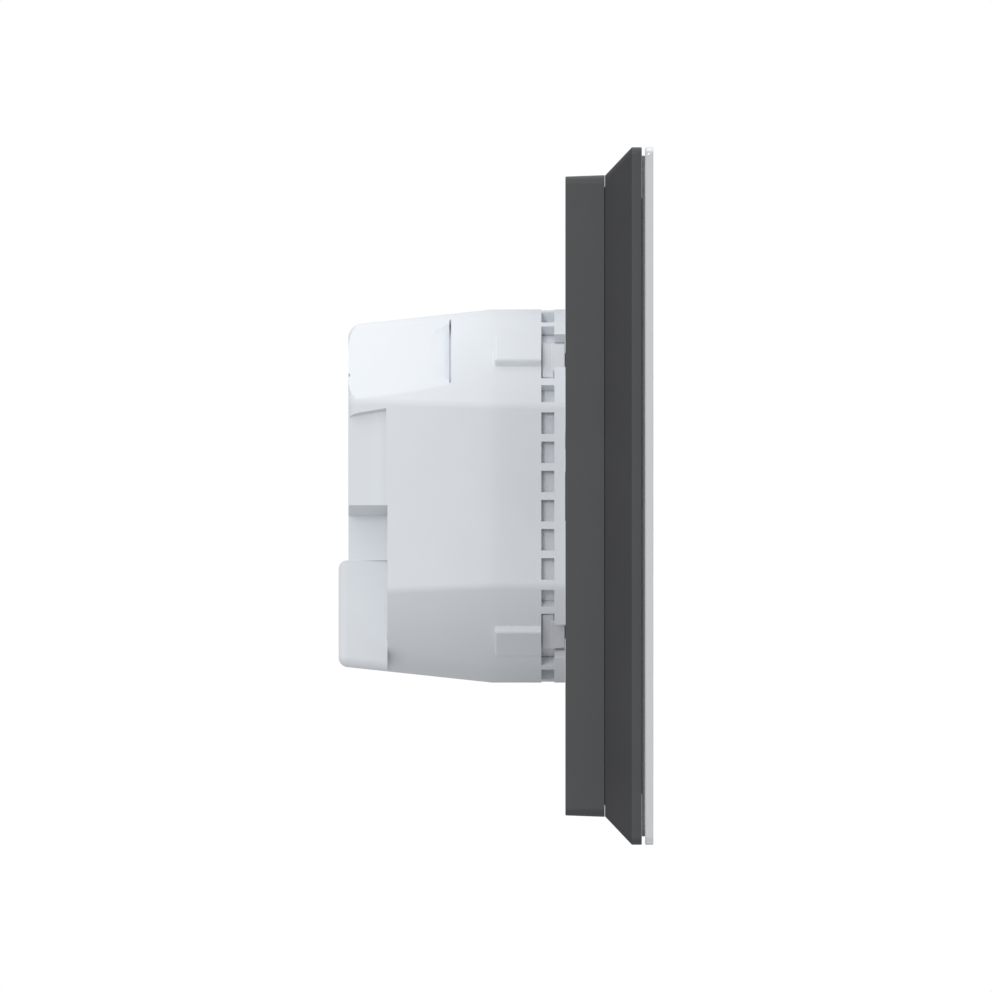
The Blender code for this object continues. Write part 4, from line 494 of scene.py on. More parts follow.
housingLow, housingHigh = span("rear_housing")
housing = dict(
    radius=housingHigh.z, flat=housingHigh.x, front=housingLow.y, rear=housingHigh.y,
    straight=10.5 * mm, taper=radians(6.1), flatTaper=radians(8.5),
    wall=1.5 * mm, thickWall=3.2 * mm, thickens=13.0 * mm, back=1.8 * mm,
    rearRadius=1.8 * mm, crease=2.0 * mm, arcSteps=56, creaseSteps=6,
    windowFront=1.58 * mm, windowRear=3.44 * mm, windowHeight=3.07 * mm, windowPitch=4.18 * mm, windowCount=6,
    windows=((30.2, 36.5), (39.1, 65.4), (68.5, 80.0)), crest=(84.5, 95.5), notch=(43.6, 60.1),
    padAngle=radians(59.5), padLength=6.7 * mm, padReach=7.12 * mm, padLift=0.15 * mm, padDepth=1.4 * mm,
    padEdge=0.42 * mm, facetAngle=radians(57.4), facetStart=16.5 * mm, facetRound=2.2 * mm,
    facetLevels=((0.0, 1.5), (7.1, 1.8), (14.6, 2.0), (18.0, 2.1)),
    scoop=((0.0, 2.45), (0.3, 2.34), (0.8, 2.14), (1.4, 1.94), (2.2, 1.76), (3.2, 1.60)),
    scoopHalf=5.0 * mm, scoopRound=4.0 * mm, groove=0.26 * mm, grooveDepth=2.72 * mm, grooveHalf=8.4 * mm,
    step=25.5 * mm, bayTop=-9.2 * mm, recess=1.2 * mm, recessTop=12.2 * mm, recessRearTop=11.3 * mm,
    recessSlope=0.4 * mm, grip=8.0 * mm, gripTop=-1.3 * mm, gripSlope=1.5 * mm,
    past=3.0 * mm, broad=0.4 * mm, soft=0.09 * mm, seat=0.03 * mm, far=60 * mm,
    labelHalf=11 * mm, labelMiddle=8.0 * mm, labelTall=10 * mm, labelDeep=0.35 * mm, labelEdge=0.3 * mm,
    ejectorX=14 * mm, ejectorTop=16 * mm, ejectorRadius=1.6 * mm, ejectorDeep=0.25 * mm,
)
h = housing


def wallRadius(y):
    return h["radius"] - tan(h["taper"]) * max(0.0, y - h["straight"])


def wallFlat(y):
    return h["flat"] - tan(h["flatTaper"]) * max(0.0, y - h["straight"])


def outline(shapeY, y, inset=0.0, flatInset=None, crease=None):     # round wall, two flats, rounded creases
    crease = h["crease"] if crease is None else crease
    radius = wallRadius(shapeY) - inset
    flat = wallFlat(shapeY) - (inset if flatInset is None else flatInset)
    heart = flat - crease
    up = sqrt((radius - crease) ** 2 - heart ** 2)
    turn = atan2(up, heart)
    quarter = arc((heart, up), crease, 0.0, turn, h["creaseSteps"])
    top = [(radius * cos(turn + (pi - 2 * turn) * i / h["arcSteps"]),
            radius * sin(turn + (pi - 2 * turn) * i / h["arcSteps"])) for i in range(1, h["arcSteps"])]
    upper = quarter + top + [(-x, z) for x, z in reversed(quarter)]
    lower = [(-x, -z) for x, z in upper]
    return [Vector((x, y, z)) for x, z in upper + lower]


def housingSolid(front, rear, rearRadius, inset=0.0, flatInset=0.0):
    levels = [(front, 0.0)]
    if front < h["straight"]:
        blend = 1.2 * mm                                # the bend into the taper is eased
        levels += [(h["straight"] - blend, 0.0), (h["straight"], 0.0), (h["straight"] + blend, 0.0)]
    for i in range(7):
        angle = i / 6 * pi / 2
        levels.append((rear - rearRadius * (1 - sin(angle)), rearRadius * (1 - cos(angle))))
    return loft([outline(y, y, inset + more, flatInset + more) for y, more in levels])


def windowBlock(bm, middle, half, yLow, yHigh, inner=None):
    reach = h["radius"] * sin(half)
    low = (h["radius"] - h["wall"] - 0.9 * mm if inner is None else inner, yLow, -reach)
    cube(bm, low, (h["radius"] + h["past"], yHigh, reach), Matrix.Rotation(-middle, 4, "Y"))


def quarters(bm, arcSpan, yLow, yHigh):
    middle, half = radians(sum(arcSpan) / 2), radians(arcSpan[1] - arcSpan[0]) / 2
    for angle in (middle, pi - middle, pi + middle, 2 * pi - middle):
        windowBlock(bm, angle, half, yLow, yHigh)


def ventWindows():
    bm = bmesh.new()
    for side in (-1, 1):
        for row in range(h["windowCount"]):
            z = (row - (h["windowCount"] - 1) / 2) * h["windowPitch"]
            ends = sorted((side * (h["flat"] - h["wall"] - 0.9 * mm), side * (h["flat"] + h["past"])))
            cube(bm, (ends[0], h["windowFront"], z - h["windowHeight"] / 2),
                 (ends[1], h["windowRear"], z + h["windowHeight"] / 2))
    for arcSpan in h["windows"]:
        quarters(bm, arcSpan, h["windowFront"], h["windowRear"])
    half = radians(h["crest"][1] - h["crest"][0]) / 2
    for angle in (pi / 2, -pi / 2):
        windowBlock(bm, angle, half, h["windowFront"], h["windowRear"])
    return bm


def hookNotches():
    bm = bmesh.new()
    quarters(bm, h["notch"], -h["past"], h["windowFront"] + 0.4 * mm)
    return bm


def mirrored(bm, verts, x=1, z=1):
    bmesh.ops.scale(bm, vec=(x, 1.0, z), verts=verts)
    if x * z < 0:
        faces = {face for vert in verts for face in vert.link_faces}
        bmesh.ops.reverse_faces(bm, faces=list(faces))


def pads():
    bm = bmesh.new()
    outer, front = h["radius"] + h["padLift"], h["windowRear"] + 0.02 * mm
    cube(bm, (outer - h["padDepth"], front - mm, -h["padReach"]), (outer, front + h["padLength"], -0.2 * mm),
         Matrix.Rotation(-h["padAngle"], 4, "Y"), h["padEdge"], 4)
    sliced = bmesh.ops.bisect_plane(bm, geom=bm.verts[:] + bm.edges[:] + bm.faces[:], plane_co=(0, front, 0),
                                    plane_no=(0, -1, 0), clear_outer=True)
    rim = [item for item in sliced["geom_cut"] if isinstance(item, bmesh.types.BMEdge)]
    bmesh.ops.edgeloop_fill(bm, edges=rim)
    first = bm.verts[:]
    for x, z in ((-1, 1), (-1, -1), (1, -1)):
        copy = bmesh.ops.duplicate(bm, geom=first + [face for face in bm.faces if face.verts[0] in first])
        mirrored(bm, [item for item in copy["geom"] if isinstance(item, bmesh.types.BMVert)], x, z)
    return bm


def facet(side):                                        # shallow flat across an upper rear corner
    loops = []
    for along, depth in h["facetLevels"]:
        y, depth = h["facetStart"] + along * mm, depth * mm
        radius, rounding = wallRadius(y), h["facetRound"]
        swing = acos((radius - depth - rounding) / (radius - rounding))
        points = []
        for way in (-1, 1):
            middle = h["facetAngle"] + way * swing
            bend = [Vector(((radius - rounding) * cos(middle) + rounding * cos(angle), 0,
                            (radius - rounding) * sin(middle) + rounding * sin(angle)))
                    for angle in (middle - way * swing * i / 6 for i in range(7))]
            tip = middle + way * radians(3)
            for reach in (0.35 * mm, 5 * mm):
                bend.insert(0, Vector(((radius + reach) * cos(tip), 0, (radius + reach) * sin(tip))))
            points += bend if way < 0 else list(reversed(bend))
        loops.append([Vector((side * point.x, y, point.z)) for point in points])
    return loft(loops)


def scoop(side):                                        # hollow where a facet meets its step
    loops = []
    across = Vector((-sin(h["facetAngle"]), 0, cos(h["facetAngle"])))
    outward = Vector((cos(h["facetAngle"]), 0, sin(h["facetAngle"])))
    for along, depth in h["scoop"]:
        y = h["facetStart"] + along * mm
        base = wallRadius(y) - depth * mm
        half, rounding = h["scoopHalf"], h["scoopRound"]
        points = []
        for way in (-1, 1):
            bend = [(way * (half + rounding * sin(pi / 2 * i / 6)),
                     base + rounding * (1 - cos(pi / 2 * i / 6))) for i in range(7)]
            bend.append((way * (half + rounding), base + 6 * mm))
            points += reversed(bend) if way < 0 else bend
        loops.append([across * u + outward * v + Vector((0, y, 0)) for u, v in points])
    bm = loft(loops)
    mirrored(bm, bm.verts[:], side)
    return bm


def grooveAt(side):                                     # a fine groove along the foot of a facet's step
    bm = bmesh.new()
    y, reach = h["facetStart"], h["grooveHalf"]
    base = wallRadius(y) - h["grooveDepth"]
    cube(bm, (base, y - h["groove"] / 2, -reach), (base + 5 * mm, y + h["groove"] / 2, reach),
         Matrix.Rotation(-h["facetAngle"], 4, "Y"), 0.12 * mm, 2)
    mirrored(bm, bm.verts[:], side)
    return bm


def sidePlace(depth):                                   # frame on a flat, depth below its surface
    place = Matrix.Translation((wallFlat(h["step"]) - depth, h["step"], 0))
    return place @ Matrix.Rotation(h["flatTaper"], 4, "Z")


def sideRecess(side):
    reach = h["rear"] - h["step"] + h["past"]
    drop = h["recessTop"] - (h["recessTop"] - h["recessRearTop"]) * reach / (h["rear"] - h["step"])
    bottom = h["bayTop"] - h["past"]
    outer = h["recess"] + h["past"]
    slope = h["recessSlope"] * outer / h["recess"]
    points = []
    for depth in (0.0, outer):
        for y, top in ((0.0, h["recessTop"]), (reach, drop)):
            points += [(depth, y, top + (slope if depth else 0.0)), (depth, y, bottom)]
    bm = hull([sidePlace(h["recess"]) @ Vector(point) for point in points])
    mirrored(bm, bm.verts[:], side)
    return bm


def grip(side):                                         # finger grip with a sloping roof, open to the rear
    outer, reach = h["grip"] + h["past"], h["rear"] - h["step"] + h["past"]
    bottom = h["bayTop"] - h["past"]
    points = []
    for depth, top in ((0.0, h["gripTop"] - h["gripSlope"]), (h["grip"] - h["recess"], h["gripTop"]),
                       (outer, h["gripTop"])):
        for y in (-depth * tan(h["flatTaper"]), reach):
            points += [(depth, y, top), (depth, y, bottom)]
    bm = hull([sidePlace(h["grip"]) @ Vector(point) for point in points])
    mirrored(bm, bm.verts[:], side)
    return bm


def housingHollow():
    levels = [(-h["past"], h["wall"]), (h["straight"], h["wall"]), (h["thickens"], h["wall"]),
              (h["thickens"] + 2 * mm, h["thickWall"]), (h["rear"] - h["back"], h["thickWall"])]
    hollow = thing("housingHollow", loft([outline(y, y, inset) for y, inset in levels]))
    far, bulkhead = h["far"], h["step"] - h["back"]
    cut(hollow, block((-far, bulkhead, -far), (far, far, h["bayTop"] + h["back"])))
    wall, ceiling = wallFlat(h["rear"]) - h["grip"] - h["wall"], h["gripTop"] + h["wall"]
    cut(hollow, block((wall, bulkhead, -far), (far, far, ceiling)),
        block((-far, bulkhead, -far), (-wall, far, ceiling)))
    bm = bmesh.new()
    bm.from_mesh(hollow.data)
    bpy.data.objects.remove(hollow, do_unlink=True)
    return bm


def rearMarks():                                        # label recess and ejector marks in the rear face
    bm = bmesh.new()
    rear, beyond = h["rear"], h["rear"] + h["past"]
    half, middle, tall = h["labelHalf"], h["labelMiddle"], h["labelTall"]
    cube(bm, (-half, rear - h["labelDeep"], middle - tall / 2), (half, beyond, middle + tall / 2),
         bevel=h["labelEdge"])
    for z in (h["ejectorTop"], 0.0):
        for x in (-h["ejectorX"], h["ejectorX"]):
            addRod(bm, x, z, h["ejectorRadius"], rear - h["ejectorDeep"], beyond, 40)
    return bm


def makeHousing():
    shell = thing("flushHousing", housingSolid(-h["past"], h["rear"], h["rearRadius"]))
    cut(shell, sideRecess(1), sideRecess(-1))
    cut(shell, grip(1), grip(-1))
    far = h["far"]
    soften(shell, h["broad"], 3)
    cut(shell, facet(1), facet(-1))
    cut(shell, scoop(1), scoop(-1))
    cut(shell, grooveAt(1), grooveAt(-1))
    cut(shell, block((-far, h["step"], -far), (far, far, h["bayTop"])))
    cut(shell, block((-far, -far, -far), (far, h["seat"], far)))
    cut(shell, housingHollow())
    cut(shell, ventWindows(), hookNotches())
    cut(shell, latchSlots(), rearMarks())
    soften(shell, h["soft"])
    join(shell, pads())
    polish(shell)
    return done(shell, housingWhite, "wall_unit", "housing_white", "rear_housing")


# The terminal cover, which slides off the housing's lower rear
coverHigh = span("terminal_cover")[1]
cover = dict(
    half=coverHigh.x, top=h["bayTop"] - 0.01 * mm, rear=coverHigh.y, front=h["step"] + 0.01 * mm,
    corner=1.5 * mm,
    rearRadius=1.2 * mm, wall=1.2 * mm, slotX=20.3 * mm, slotZ=5.0 * mm, slotMiddle=-16.64 * mm,
    latchX=5.0 * mm, latchZ=-20.2 * mm, latchWide=3.0 * mm, latchTall=1.0 * mm, latchLong=7.1 * mm,
    latchPlay=0.3 * mm, latchRoot=0.4 * mm,
)


def coverLoop(y, inset):                                # flat sides, an underside that follows the taper
    c = cover
    radius = max(c["corner"] - inset, 0.3 * mm)
    half, low, top = c["half"] - inset, inset - wallRadius(y), c["top"] - inset
    points = [Vector((-half, y, top)), Vector((half, y, top))]
    for corner, side in enumerate((1, -1)):
        for step in range(9):
            angle = -(corner + step / 8) * pi / 2
            points.append(Vector((side * (half - radius) + radius * cos(angle), y,
                                  low + radius + radius * sin(angle))))
    return points


def latchSlots():
    c = cover
    bm = bmesh.new()
    for x in (-c["latchX"], c["latchX"]):
        play, wide, tall = c["latchPlay"], c["latchWide"] / 2, c["latchTall"] / 2
        cube(bm, (x - wide - play, h["step"] - 3 * mm, c["latchZ"] - tall - play),
             (x + wide + play, h["step"] + mm, c["latchZ"] + tall + play))
    return bm


def makeTerminalCover():
    c = cover
    levels = [(c["front"], 0.0)]
    for i in range(7):
        angle = i / 6 * pi / 2
        levels.append((c["rear"] - c["rearRadius"] * (1 - sin(angle)), c["rearRadius"] * (1 - cos(angle))))
    piece = thing("terminalCover", loft([coverLoop(y, inset) for y, inset in levels]))
    inner = c["rear"] - c["wall"]
    cut(piece, loft([coverLoop(y, c["wall"]) for y in (c["front"] - 2 * mm, inner)]))
    wide, tall, root = c["latchWide"] / 2, c["latchTall"] / 2, inner + c["latchRoot"]
    for x in (-c["latchX"], c["latchX"]):
        join(piece, block((x - wide, root - c["latchLong"], c["latchZ"] - tall),
                          (x + wide, root, c["latchZ"] + tall), bevel=0.15 * mm, steps=2))
    cut(piece, block((-c["slotX"] / 2, inner - mm, c["slotMiddle"] - c["slotZ"] / 2),
                     (c["slotX"] / 2, c["rear"] + 2 * mm, c["slotMiddle"] + c["slotZ"] / 2)))
    soften(piece, 0.1 * mm, 2, 50)
    polish(piece)
    return done(piece, housingWhite, "terminal_cover", "housing_white", "terminal_cover")


makeHousing()
print("flush housing made")

makeTerminalCover()
print("terminal cover made")

# The insert that closes the housing's mouth and snaps into its windows
carrierHigh = span("inner_carrier")[1]
carrier = dict(plate=1.2 * mm, skirt=1.2 * mm, inset=1.62 * mm, neck=(43.9, 57.6), hook=(40.6, 57.6),
               hookProud=0.75 * mm,
               bossRadius=2.3 * mm, screwX=9.5 * mm, screwZ=19.5 * mm, screwHole=1.2 * mm,
               plugX=9.3 * mm, plugZ=3.8 * mm)


def makeHook(spread, inside, outside, yStart, yEnd):    # drawn on a flat across the neck's middle
    bm = bmesh.new()
    middle = radians(sum(carrier["neck"]) / 2)
    low, high = (outside * sin(radians(angle) - middle) for angle in spread)
    verts = cube(bm, (inside, yStart, low), (outside, yEnd, high), bevel=0.14 * mm)
    for vert in verts:                                  # lead-in on the front
        if vert.co.x > outside - 0.3 * mm:
            vert.co.x -= 0.3 * mm * max(0.0, 1 - (vert.co.y - yStart) / (0.9 * mm))
    bmesh.ops.rotate(bm, verts=verts, matrix=Matrix.Rotation(-middle, 3, "Y"))
    return bm


def makeCarrier():
    c = carrier
    front, rear = h["seat"] + 0.02 * mm, carrierHigh.y
    piece = thing("innerCarrier", loft([outline(rear, y, c["inset"]) for y in (front, rear)]))
    cut(piece, loft([outline(rear, y, c["inset"] + c["skirt"]) for y in (front + c["plate"], rear + 2 * mm)]))
    bosses, holes = bmesh.new(), bmesh.new()
    for x, z in fourWays(c["screwX"], c["screwZ"]):
        addRod(bosses, x, z, c["bossRadius"], front + 0.8 * mm, 4.6 * mm)
        addRod(holes, x, z, c["screwHole"], -2 * mm, 4.2 * mm, 32)
    cube(holes, (-c["plugX"], -2 * mm, -c["plugZ"]), (c["plugX"], 3.2 * mm, c["plugZ"]))
    join(piece, bosses)
    cut(piece, holes)
    soften(piece, 0.12 * mm)
    skirt = h["radius"] - c["inset"]
    yEnd = h["windowRear"] - 0.12 * mm
    start = h["windowFront"] + 0.06 * mm
    for spread, drop, sunk, y in ((c["neck"], 0.05 * mm, 0.9 * mm, (front + 0.01 * mm, start + 0.5 * mm)),
                                  (c["hook"], 0.0, 0.8 * mm, (start, yEnd))):
        for x, z in fourWays(1, 1):
            hook = makeHook(spread, skirt - sunk, skirt + c["hookProud"] - drop, *y)
            mirrored(hook, hook.verts[:], x, z)
            join(piece, hook)
    polish(piece)
    return done(piece, insertWhite, "wall_unit", "housing_white", "inner_carrier")


makeCarrier()
print("inner carrier made")

# The front panel's shells, read from the wall forwards
baseLow, baseHigh = span("rear_cover")
bezelLow, bezelHigh = span("bezel_frame")
neckHigh = span("glass_carrier")[1]
glassLow, glassHigh = span("front_glass")
panel = dict(
    half=glassHigh.z, baseHalf=baseHigh.z, draft=0.2 * mm, baseRadius=0.9 * mm, cornerRadius=1.0 * mm,
    innerRadius=0.8 * mm, flareFront=-9.54 * mm, rimFront=bezelLow.y, baseFront=bezelHigh.y + 0.05 * mm,
    cavity=43.5 * mm, tongue=44.3 * mm, tongueFront=baseLow.y, floorRear=-1.8 * mm, floorFront=-3.2 * mm,
    opening=43.0 * mm, bezelInner=44.6 * mm, flareWall=3.0 * mm, neckHalf=neckHigh.z, neckFront=glassHigh.y,
    screwPlace=39.5 * mm, edge=0.12 * mm, behind=2 * mm, through=-20 * mm,
    ribs=(-27 * mm, -14 * mm, 14 * mm, 27 * mm), ribStart=38.4 * mm, ribHalf=0.4 * mm, ribTall=0.7 * mm,
    bossRadius=3.1 * mm, screwHole=1.3 * mm, headRoom=2.45 * mm, plungerHole=1.6 * mm, buttonHole=1.4 * mm,
    play=0.3 * mm, clipSlot=(36.95 * mm, 37.85 * mm), clipHalf=3.3 * mm,
    cornerArm=2.5 * mm, post=43.2 * mm, postFront=-9.3 * mm, postRear=-6.1 * mm,
    neckInner=41.5 * mm, neckOuter=42.7 * mm, neckEdge=0.06 * mm,
)
p = panel


def makeRearCover():
    e, half, front = p["edge"], p["baseHalf"], p["baseFront"]
    sections = [(half - p["draft"] - e, 0.0), (half - p["draft"] - e * 0.3, -e * 0.3), (half - p["draft"], -e),
                (half, front + e * 0.5), (half - e * 0.5, front)]
    piece = thing("rearCover", squareForm(sections, p["baseRadius"]))
    join(piece, squareForm([(p["tongue"], front + 0.4 * mm), (p["tongue"], p["tongueFront"])],
                           p["innerRadius"]))
    behind, through = p["behind"], p["through"]
    cut(piece, squareForm([(p["cavity"], p["floorFront"]), (p["cavity"], through)], p["innerRadius"]))
    cut(piece, squareForm([(p["cavity"], behind), (p["cavity"], p["floorRear"])], p["innerRadius"]))
    ribs = bmesh.new()                                  # low ribs from the ring's seat to the tray's wall
    for quarter in range(4):
        for offset in p["ribs"]:
            cube(ribs, (p["ribStart"], p["floorRear"] - 0.4 * mm, offset - p["ribHalf"]),
                 (p["cavity"] + 0.3 * mm, p["floorRear"] + p["ribTall"], offset + p["ribHalf"]),
                 Matrix.Rotation(quarter * pi / 2, 4, "Y"))
    for x, z in fourWays(p["screwPlace"], p["screwPlace"]):
        addRod(ribs, x, z, p["bossRadius"], p["floorRear"] - 0.4 * mm, p["floorRear"] + 0.25 * mm)
    join(piece, ribs)
    holes = bmesh.new()
    for x, z in fourWays(p["screwPlace"], p["screwPlace"]):
        addRod(holes, x, z, p["screwHole"], through, behind, 32)
        addRod(holes, x, z, p["headRoom"], p["floorRear"] + 0.02 * mm, behind, 40)
    for node, radius in (("tamper_plunger", p["plungerHole"]), ("setup_button", p["buttonHole"])):
        low, high = span(node)
        addRod(holes, (low.x + high.x) / 2, (low.z + high.z) / 2, radius, through, behind, 32)
    low, high = span("board_socket")
    cube(holes, (low.x - p["play"], through, low.z - p["play"]),
         (high.x + p["play"], behind, high.z + p["play"]))
    cut(piece, holes)
    slots = bmesh.new()
    for quarter in range(4):
        cube(slots, (p["clipSlot"][0], through, -p["clipHalf"]), (p["clipSlot"][1], behind, p["clipHalf"]),
             Matrix.Rotation(quarter * pi / 2, 4, "Y"))
    cut(piece, slots)
    soften(piece, 0.08 * mm, 2, 40)
    polish(piece)
    return done(piece, frameGrey, "front_panel", "panel_grey", "rear_cover")


def makeBezel():
    e, half, rear = p["edge"], p["half"], bezelHigh.y
    wall = half - p["flareWall"]
    ring = [
        (p["baseHalf"] - e * 0.5, rear), (p["baseHalf"], rear - e * 0.5),
        (half - e * 0.7, p["flareFront"] + e * 0.7), (half - e * 0.2, p["flareFront"] + e * 0.1),
        (half, p["flareFront"] - e * 0.5), (half, p["rimFront"] + e),
        (half - e * 0.3, p["rimFront"] + e * 0.3), (half - e, p["rimFront"]),
        (p["opening"] + e, p["rimFront"]), (p["opening"], p["rimFront"] + e),
        (p["opening"], p["flareFront"]), (wall, p["flareFront"]),
        (p["bezelInner"], p["tongueFront"]), (p["bezelInner"], rear),
    ]
    loops = []
    for halfSide, y in ring:
        radius = p["cornerRadius"] if halfSide > p["bezelInner"] + 0.2 * mm else p["innerRadius"]
        loops.append(squareLoop(halfSide, halfSide, y, radius, 8))
    piece = thing("bezelFrame", loft(loops, closed=True))
    inner, outer, post = p["screwPlace"] - p["cornerArm"], wall + 0.4 * mm, p["post"]
    blocks = bmesh.new()
    for x, z in fourWays(1, 1):
        mirrored(blocks, cube(blocks, (inner, -9.66 * mm, inner), (outer, -7.9 * mm, outer)), x, z)
    join(piece, blocks)
    posts = bmesh.new()
    for x, z in fourWays(1, 1):
        mirrored(posts, cube(posts, (inner, p["postFront"], inner), (post, p["postRear"], post)), x, z)
    join(piece, posts)
    holes = bmesh.new()
    for x, z in fourWays(p["screwPlace"], p["screwPlace"]):
        addRod(holes, x, z, p["screwHole"], p["postFront"] + 0.1 * mm, 0.0, 32)
    cut(piece, holes)
    polish(piece, 40)
    done(piece, frameGrey, "front_panel", "panel_grey", "bezel_frame")
    piece.data.materials.append(flareGrey)
    for face in piece.data.polygons:                    # the flare is spark-eroded, the rim is satin
        face.material_index = int(0.5 < face.normal.y < 0.9)


def makeNeck():
    half, e, inner, outer = p["neckHalf"], p["neckEdge"], p["neckInner"], p["neckOuter"]
    rear, front = p["rimFront"] - 0.02 * mm, p["neckFront"] + 0.02 * mm
    skirt = neckHigh.y
    ring = [(half - e, rear), (half, rear - e), (half, front + e), (half - e, front),
            (inner, front), (inner, skirt), (outer, skirt), (outer, rear)]
    loops = [squareLoop(side, side, y, p["cornerRadius"] if side > outer else p["innerRadius"], 8)
             for side, y in ring]
    piece = thing("glassCarrier", loft(loops, closed=True))
    polish(piece, 40)
    return done(piece, neckGrey, "front_panel", "panel_grey", "glass_carrier")


makeRearCover()
makeBezel()
makeNeck()
print("panel shells made")

# The glass, printed white on its back, and what is printed on it
glass = dict(
    chamfer=0.16 * mm, radius=1.0 * mm, displayZ=27.5 * mm, displayX=23.0 * mm, displayHalfZ=8.0 * mm,
    keyPitchX=21.0 * mm, keyPitchZ=14.5 * mm, keysZ=-12.75 * mm, keyHalfX=7.6 * mm, keyHalfZ=5.6 * mm,
    line=0.13 * mm, ink=0.012 * mm, figure=6.75 * mm,
    lightsX=(-4.0 * mm, 0.0, 4.0 * mm), lightsZ=17.05 * mm, lightRadius=0.5 * mm,
)
g = glass


def glassPaint():
    paint = Paint("printedGlass")
    x, y, z = paint.axes()
    window = (abs(x) - (g["displayX"] - 0.0012)).highest(0.0) ** 2 + \
             (abs(z - g["displayZ"]) - (g["displayHalfZ"] - 0.0012)).highest(0.0) ** 2
    inWindow = paint.ramp(0.0012 - window ** 0.5, -0.00006, 0.00006) * (y < glassHigh.y - 0.3 * mm)
    cells = paint.node("ShaderNodeTexBrick", {"offset": 0.0}, {
        "Vector": paint.node("ShaderNodeCombineXYZ", {}, {0: x, 1: z, 2: 0.0}),
        "Scale": 1.0, "Mortar Size": 0.00002, "Brick Width": 0.0004, "Row Height": 0.0004}, output="Fac")
    cloud = paint.noise(40.0, 2.0)
    fine = paint.noise(900.0, 2.0)
    seam = paint.ramp(y, glassHigh.y - 0.28 * mm, glassHigh.y - 0.2 * mm)       # print on the rear face
    rim = paint.ramp(abs(x).highest(abs(z)), glassHigh.z - 0.25 * mm, glassHigh.z - 0.1 * mm)
    white = paint.blend(cloud, (0.73, 0.745, 0.75), (0.76, 0.77, 0.775))
    white = paint.blend(rim, white, (0.575, 0.59, 0.595))
    white = paint.blend(seam * 0.7, white, (0.52, 0.535, 0.54))
    dark = paint.blend(cells, (0.011, 0.012, 0.014), (0.016, 0.017, 0.020))
    body = paint.blend(inWindow, white, dark)
    rough = 0.10 + (fine - 0.5) * 0.03 + inWindow * 0.02
    return paint.finish(body, rough, fine, 0.000002, 0.12,
                        **{"Coat Weight": 0.6, "Coat Roughness": 0.04, "IOR": 1.5})


def makeGlass():
    c, half, rear, front = g["chamfer"], p["half"], glassHigh.y, glassLow.y
    sections = [(half - c * 0.6, rear), (half, rear - c * 0.6), (half, front + c),
                (half - c * 0.3, front + c * 0.3), (half - c, front)]
    piece = thing("frontGlass", squareForm(sections, g["radius"]))
    polish(piece, 50)
    return done(piece, glassPaint(), "front_panel", "front_glass", "front_glass")


def inkPaint(name, colour):
    paint = Paint(name)
    speck = paint.noise(3000.0, 2.0)
    body = paint.blend(speck, colour, tuple(min(1.0, part * 1.25 + 0.01) for part in colour))
    return paint.finish(body, 0.32 + speck * 0.12, speck, 0.000004, 0.2)


def textForm(text, size, x, z, y):                      # a figure's mesh, centred, standing on the glass
    curve = bpy.data.curves.new("figure", "FONT")
    curve.body, curve.size = text, size
    curve.align_x, curve.align_y = "CENTER", "CENTER"
    curve.extrude, curve.resolution_u = g["ink"] / 2, 6
    return curveMesh(curve, Matrix.Translation((x, y, z)) @ Matrix.Rotation(pi / 2, 4, "X"))


def makePrint():
    front = glassLow.y
    y = front - g["ink"] / 2 + 0.004 * mm
    places = [((column - 1) * g["keyPitchX"], g["keysZ"] + (1.5 - row) * g["keyPitchZ"])
              for row in range(4) for column in range(3)]
    bm = bmesh.new()
    for (x, z), label in zip(places, "123456789 0 "):
        if label != " ":
            bm.from_mesh(textForm(label, g["figure"], x, z, y))
    figures = thing("keyFigures", bm)
    figures.data.shade_flat()
    done(figures, inkPaint("figureGrey", (0.10, 0.105, 0.11)), "front_panel", "dark_component")
    outlines = []
    for x, z in places:
        for grow in (0.0, -g["line"]):
            outlines.append(roundRect(x, z, g["keyHalfX"] + grow, g["keyHalfZ"] + grow, 1.8 * mm + grow, 6))
    frames = flatSheet("keyFrames", outlines, front - g["ink"] * 0.6, front + 0.004 * mm)
    done(frames, inkPaint("frameSilver", (0.34, 0.35, 0.36)), "front_panel", "dark_component")
    (leftX, lowZ), (rightX, lowZ) = places[9], places[11]
    marks = []
    arm, w = 2.2 * mm, 0.42 * mm                        # a cross and a tick, for cancel and accept
    for sign in (1, -1):
        turn = Matrix.Rotation(sign * pi / 4, 2)
        marks.append([tuple(Vector(point) @ turn + Vector((leftX, lowZ)))
                      for point in ((-arm, -w / 2), (arm, -w / 2), (arm, w / 2), (-arm, w / 2))])
    tick = ((-2.1, 0.1), (-1.75, 0.45), (-0.6, -0.7), (1.85, 1.75), (2.2, 1.4), (-0.6, -1.4))
    marks.append([(rightX + x * mm, lowZ + z * mm) for x, z in tick])
    bm = bmesh.new()
    for outlineOf in marks:
        sheet = flatSheet("mark", [outlineOf], front - g["ink"] * 0.6, front + 0.004 * mm)
        bm.from_mesh(sheet.data)
        bpy.data.objects.remove(sheet, do_unlink=True)
    icons = thing("keyIcons", bm)
    done(icons, inkPaint("iconGrey", (0.12, 0.125, 0.13)), "front_panel", "dark_component")
    lights = flatSheet("statusLights", [circle(x, g["lightsZ"], g["lightRadius"]) for x in g["lightsX"]],
                       front - g["ink"] * 0.6, front + 0.004 * mm)
    done(lights, inkPaint("lightWindow", (0.20, 0.22, 0.21)), "front_panel", "dark_component")


makeGlass()
makePrint()
print("glass and print made")

# The steel ring on the flush box
ringLow, ringHigh = span("support_ring")
ring = dict(
    radius=2.0 * mm, windowX=16 * mm, windowZ=15 * mm, spacing=30 * mm, slotWide=2.0 * mm, slotLong=4.0 * mm,
    cornerHole=1.8 * mm, screwX=9.5 * mm, screwZ=19.5 * mm, hole=1.2 * mm, sunk=2.35 * mm,
)


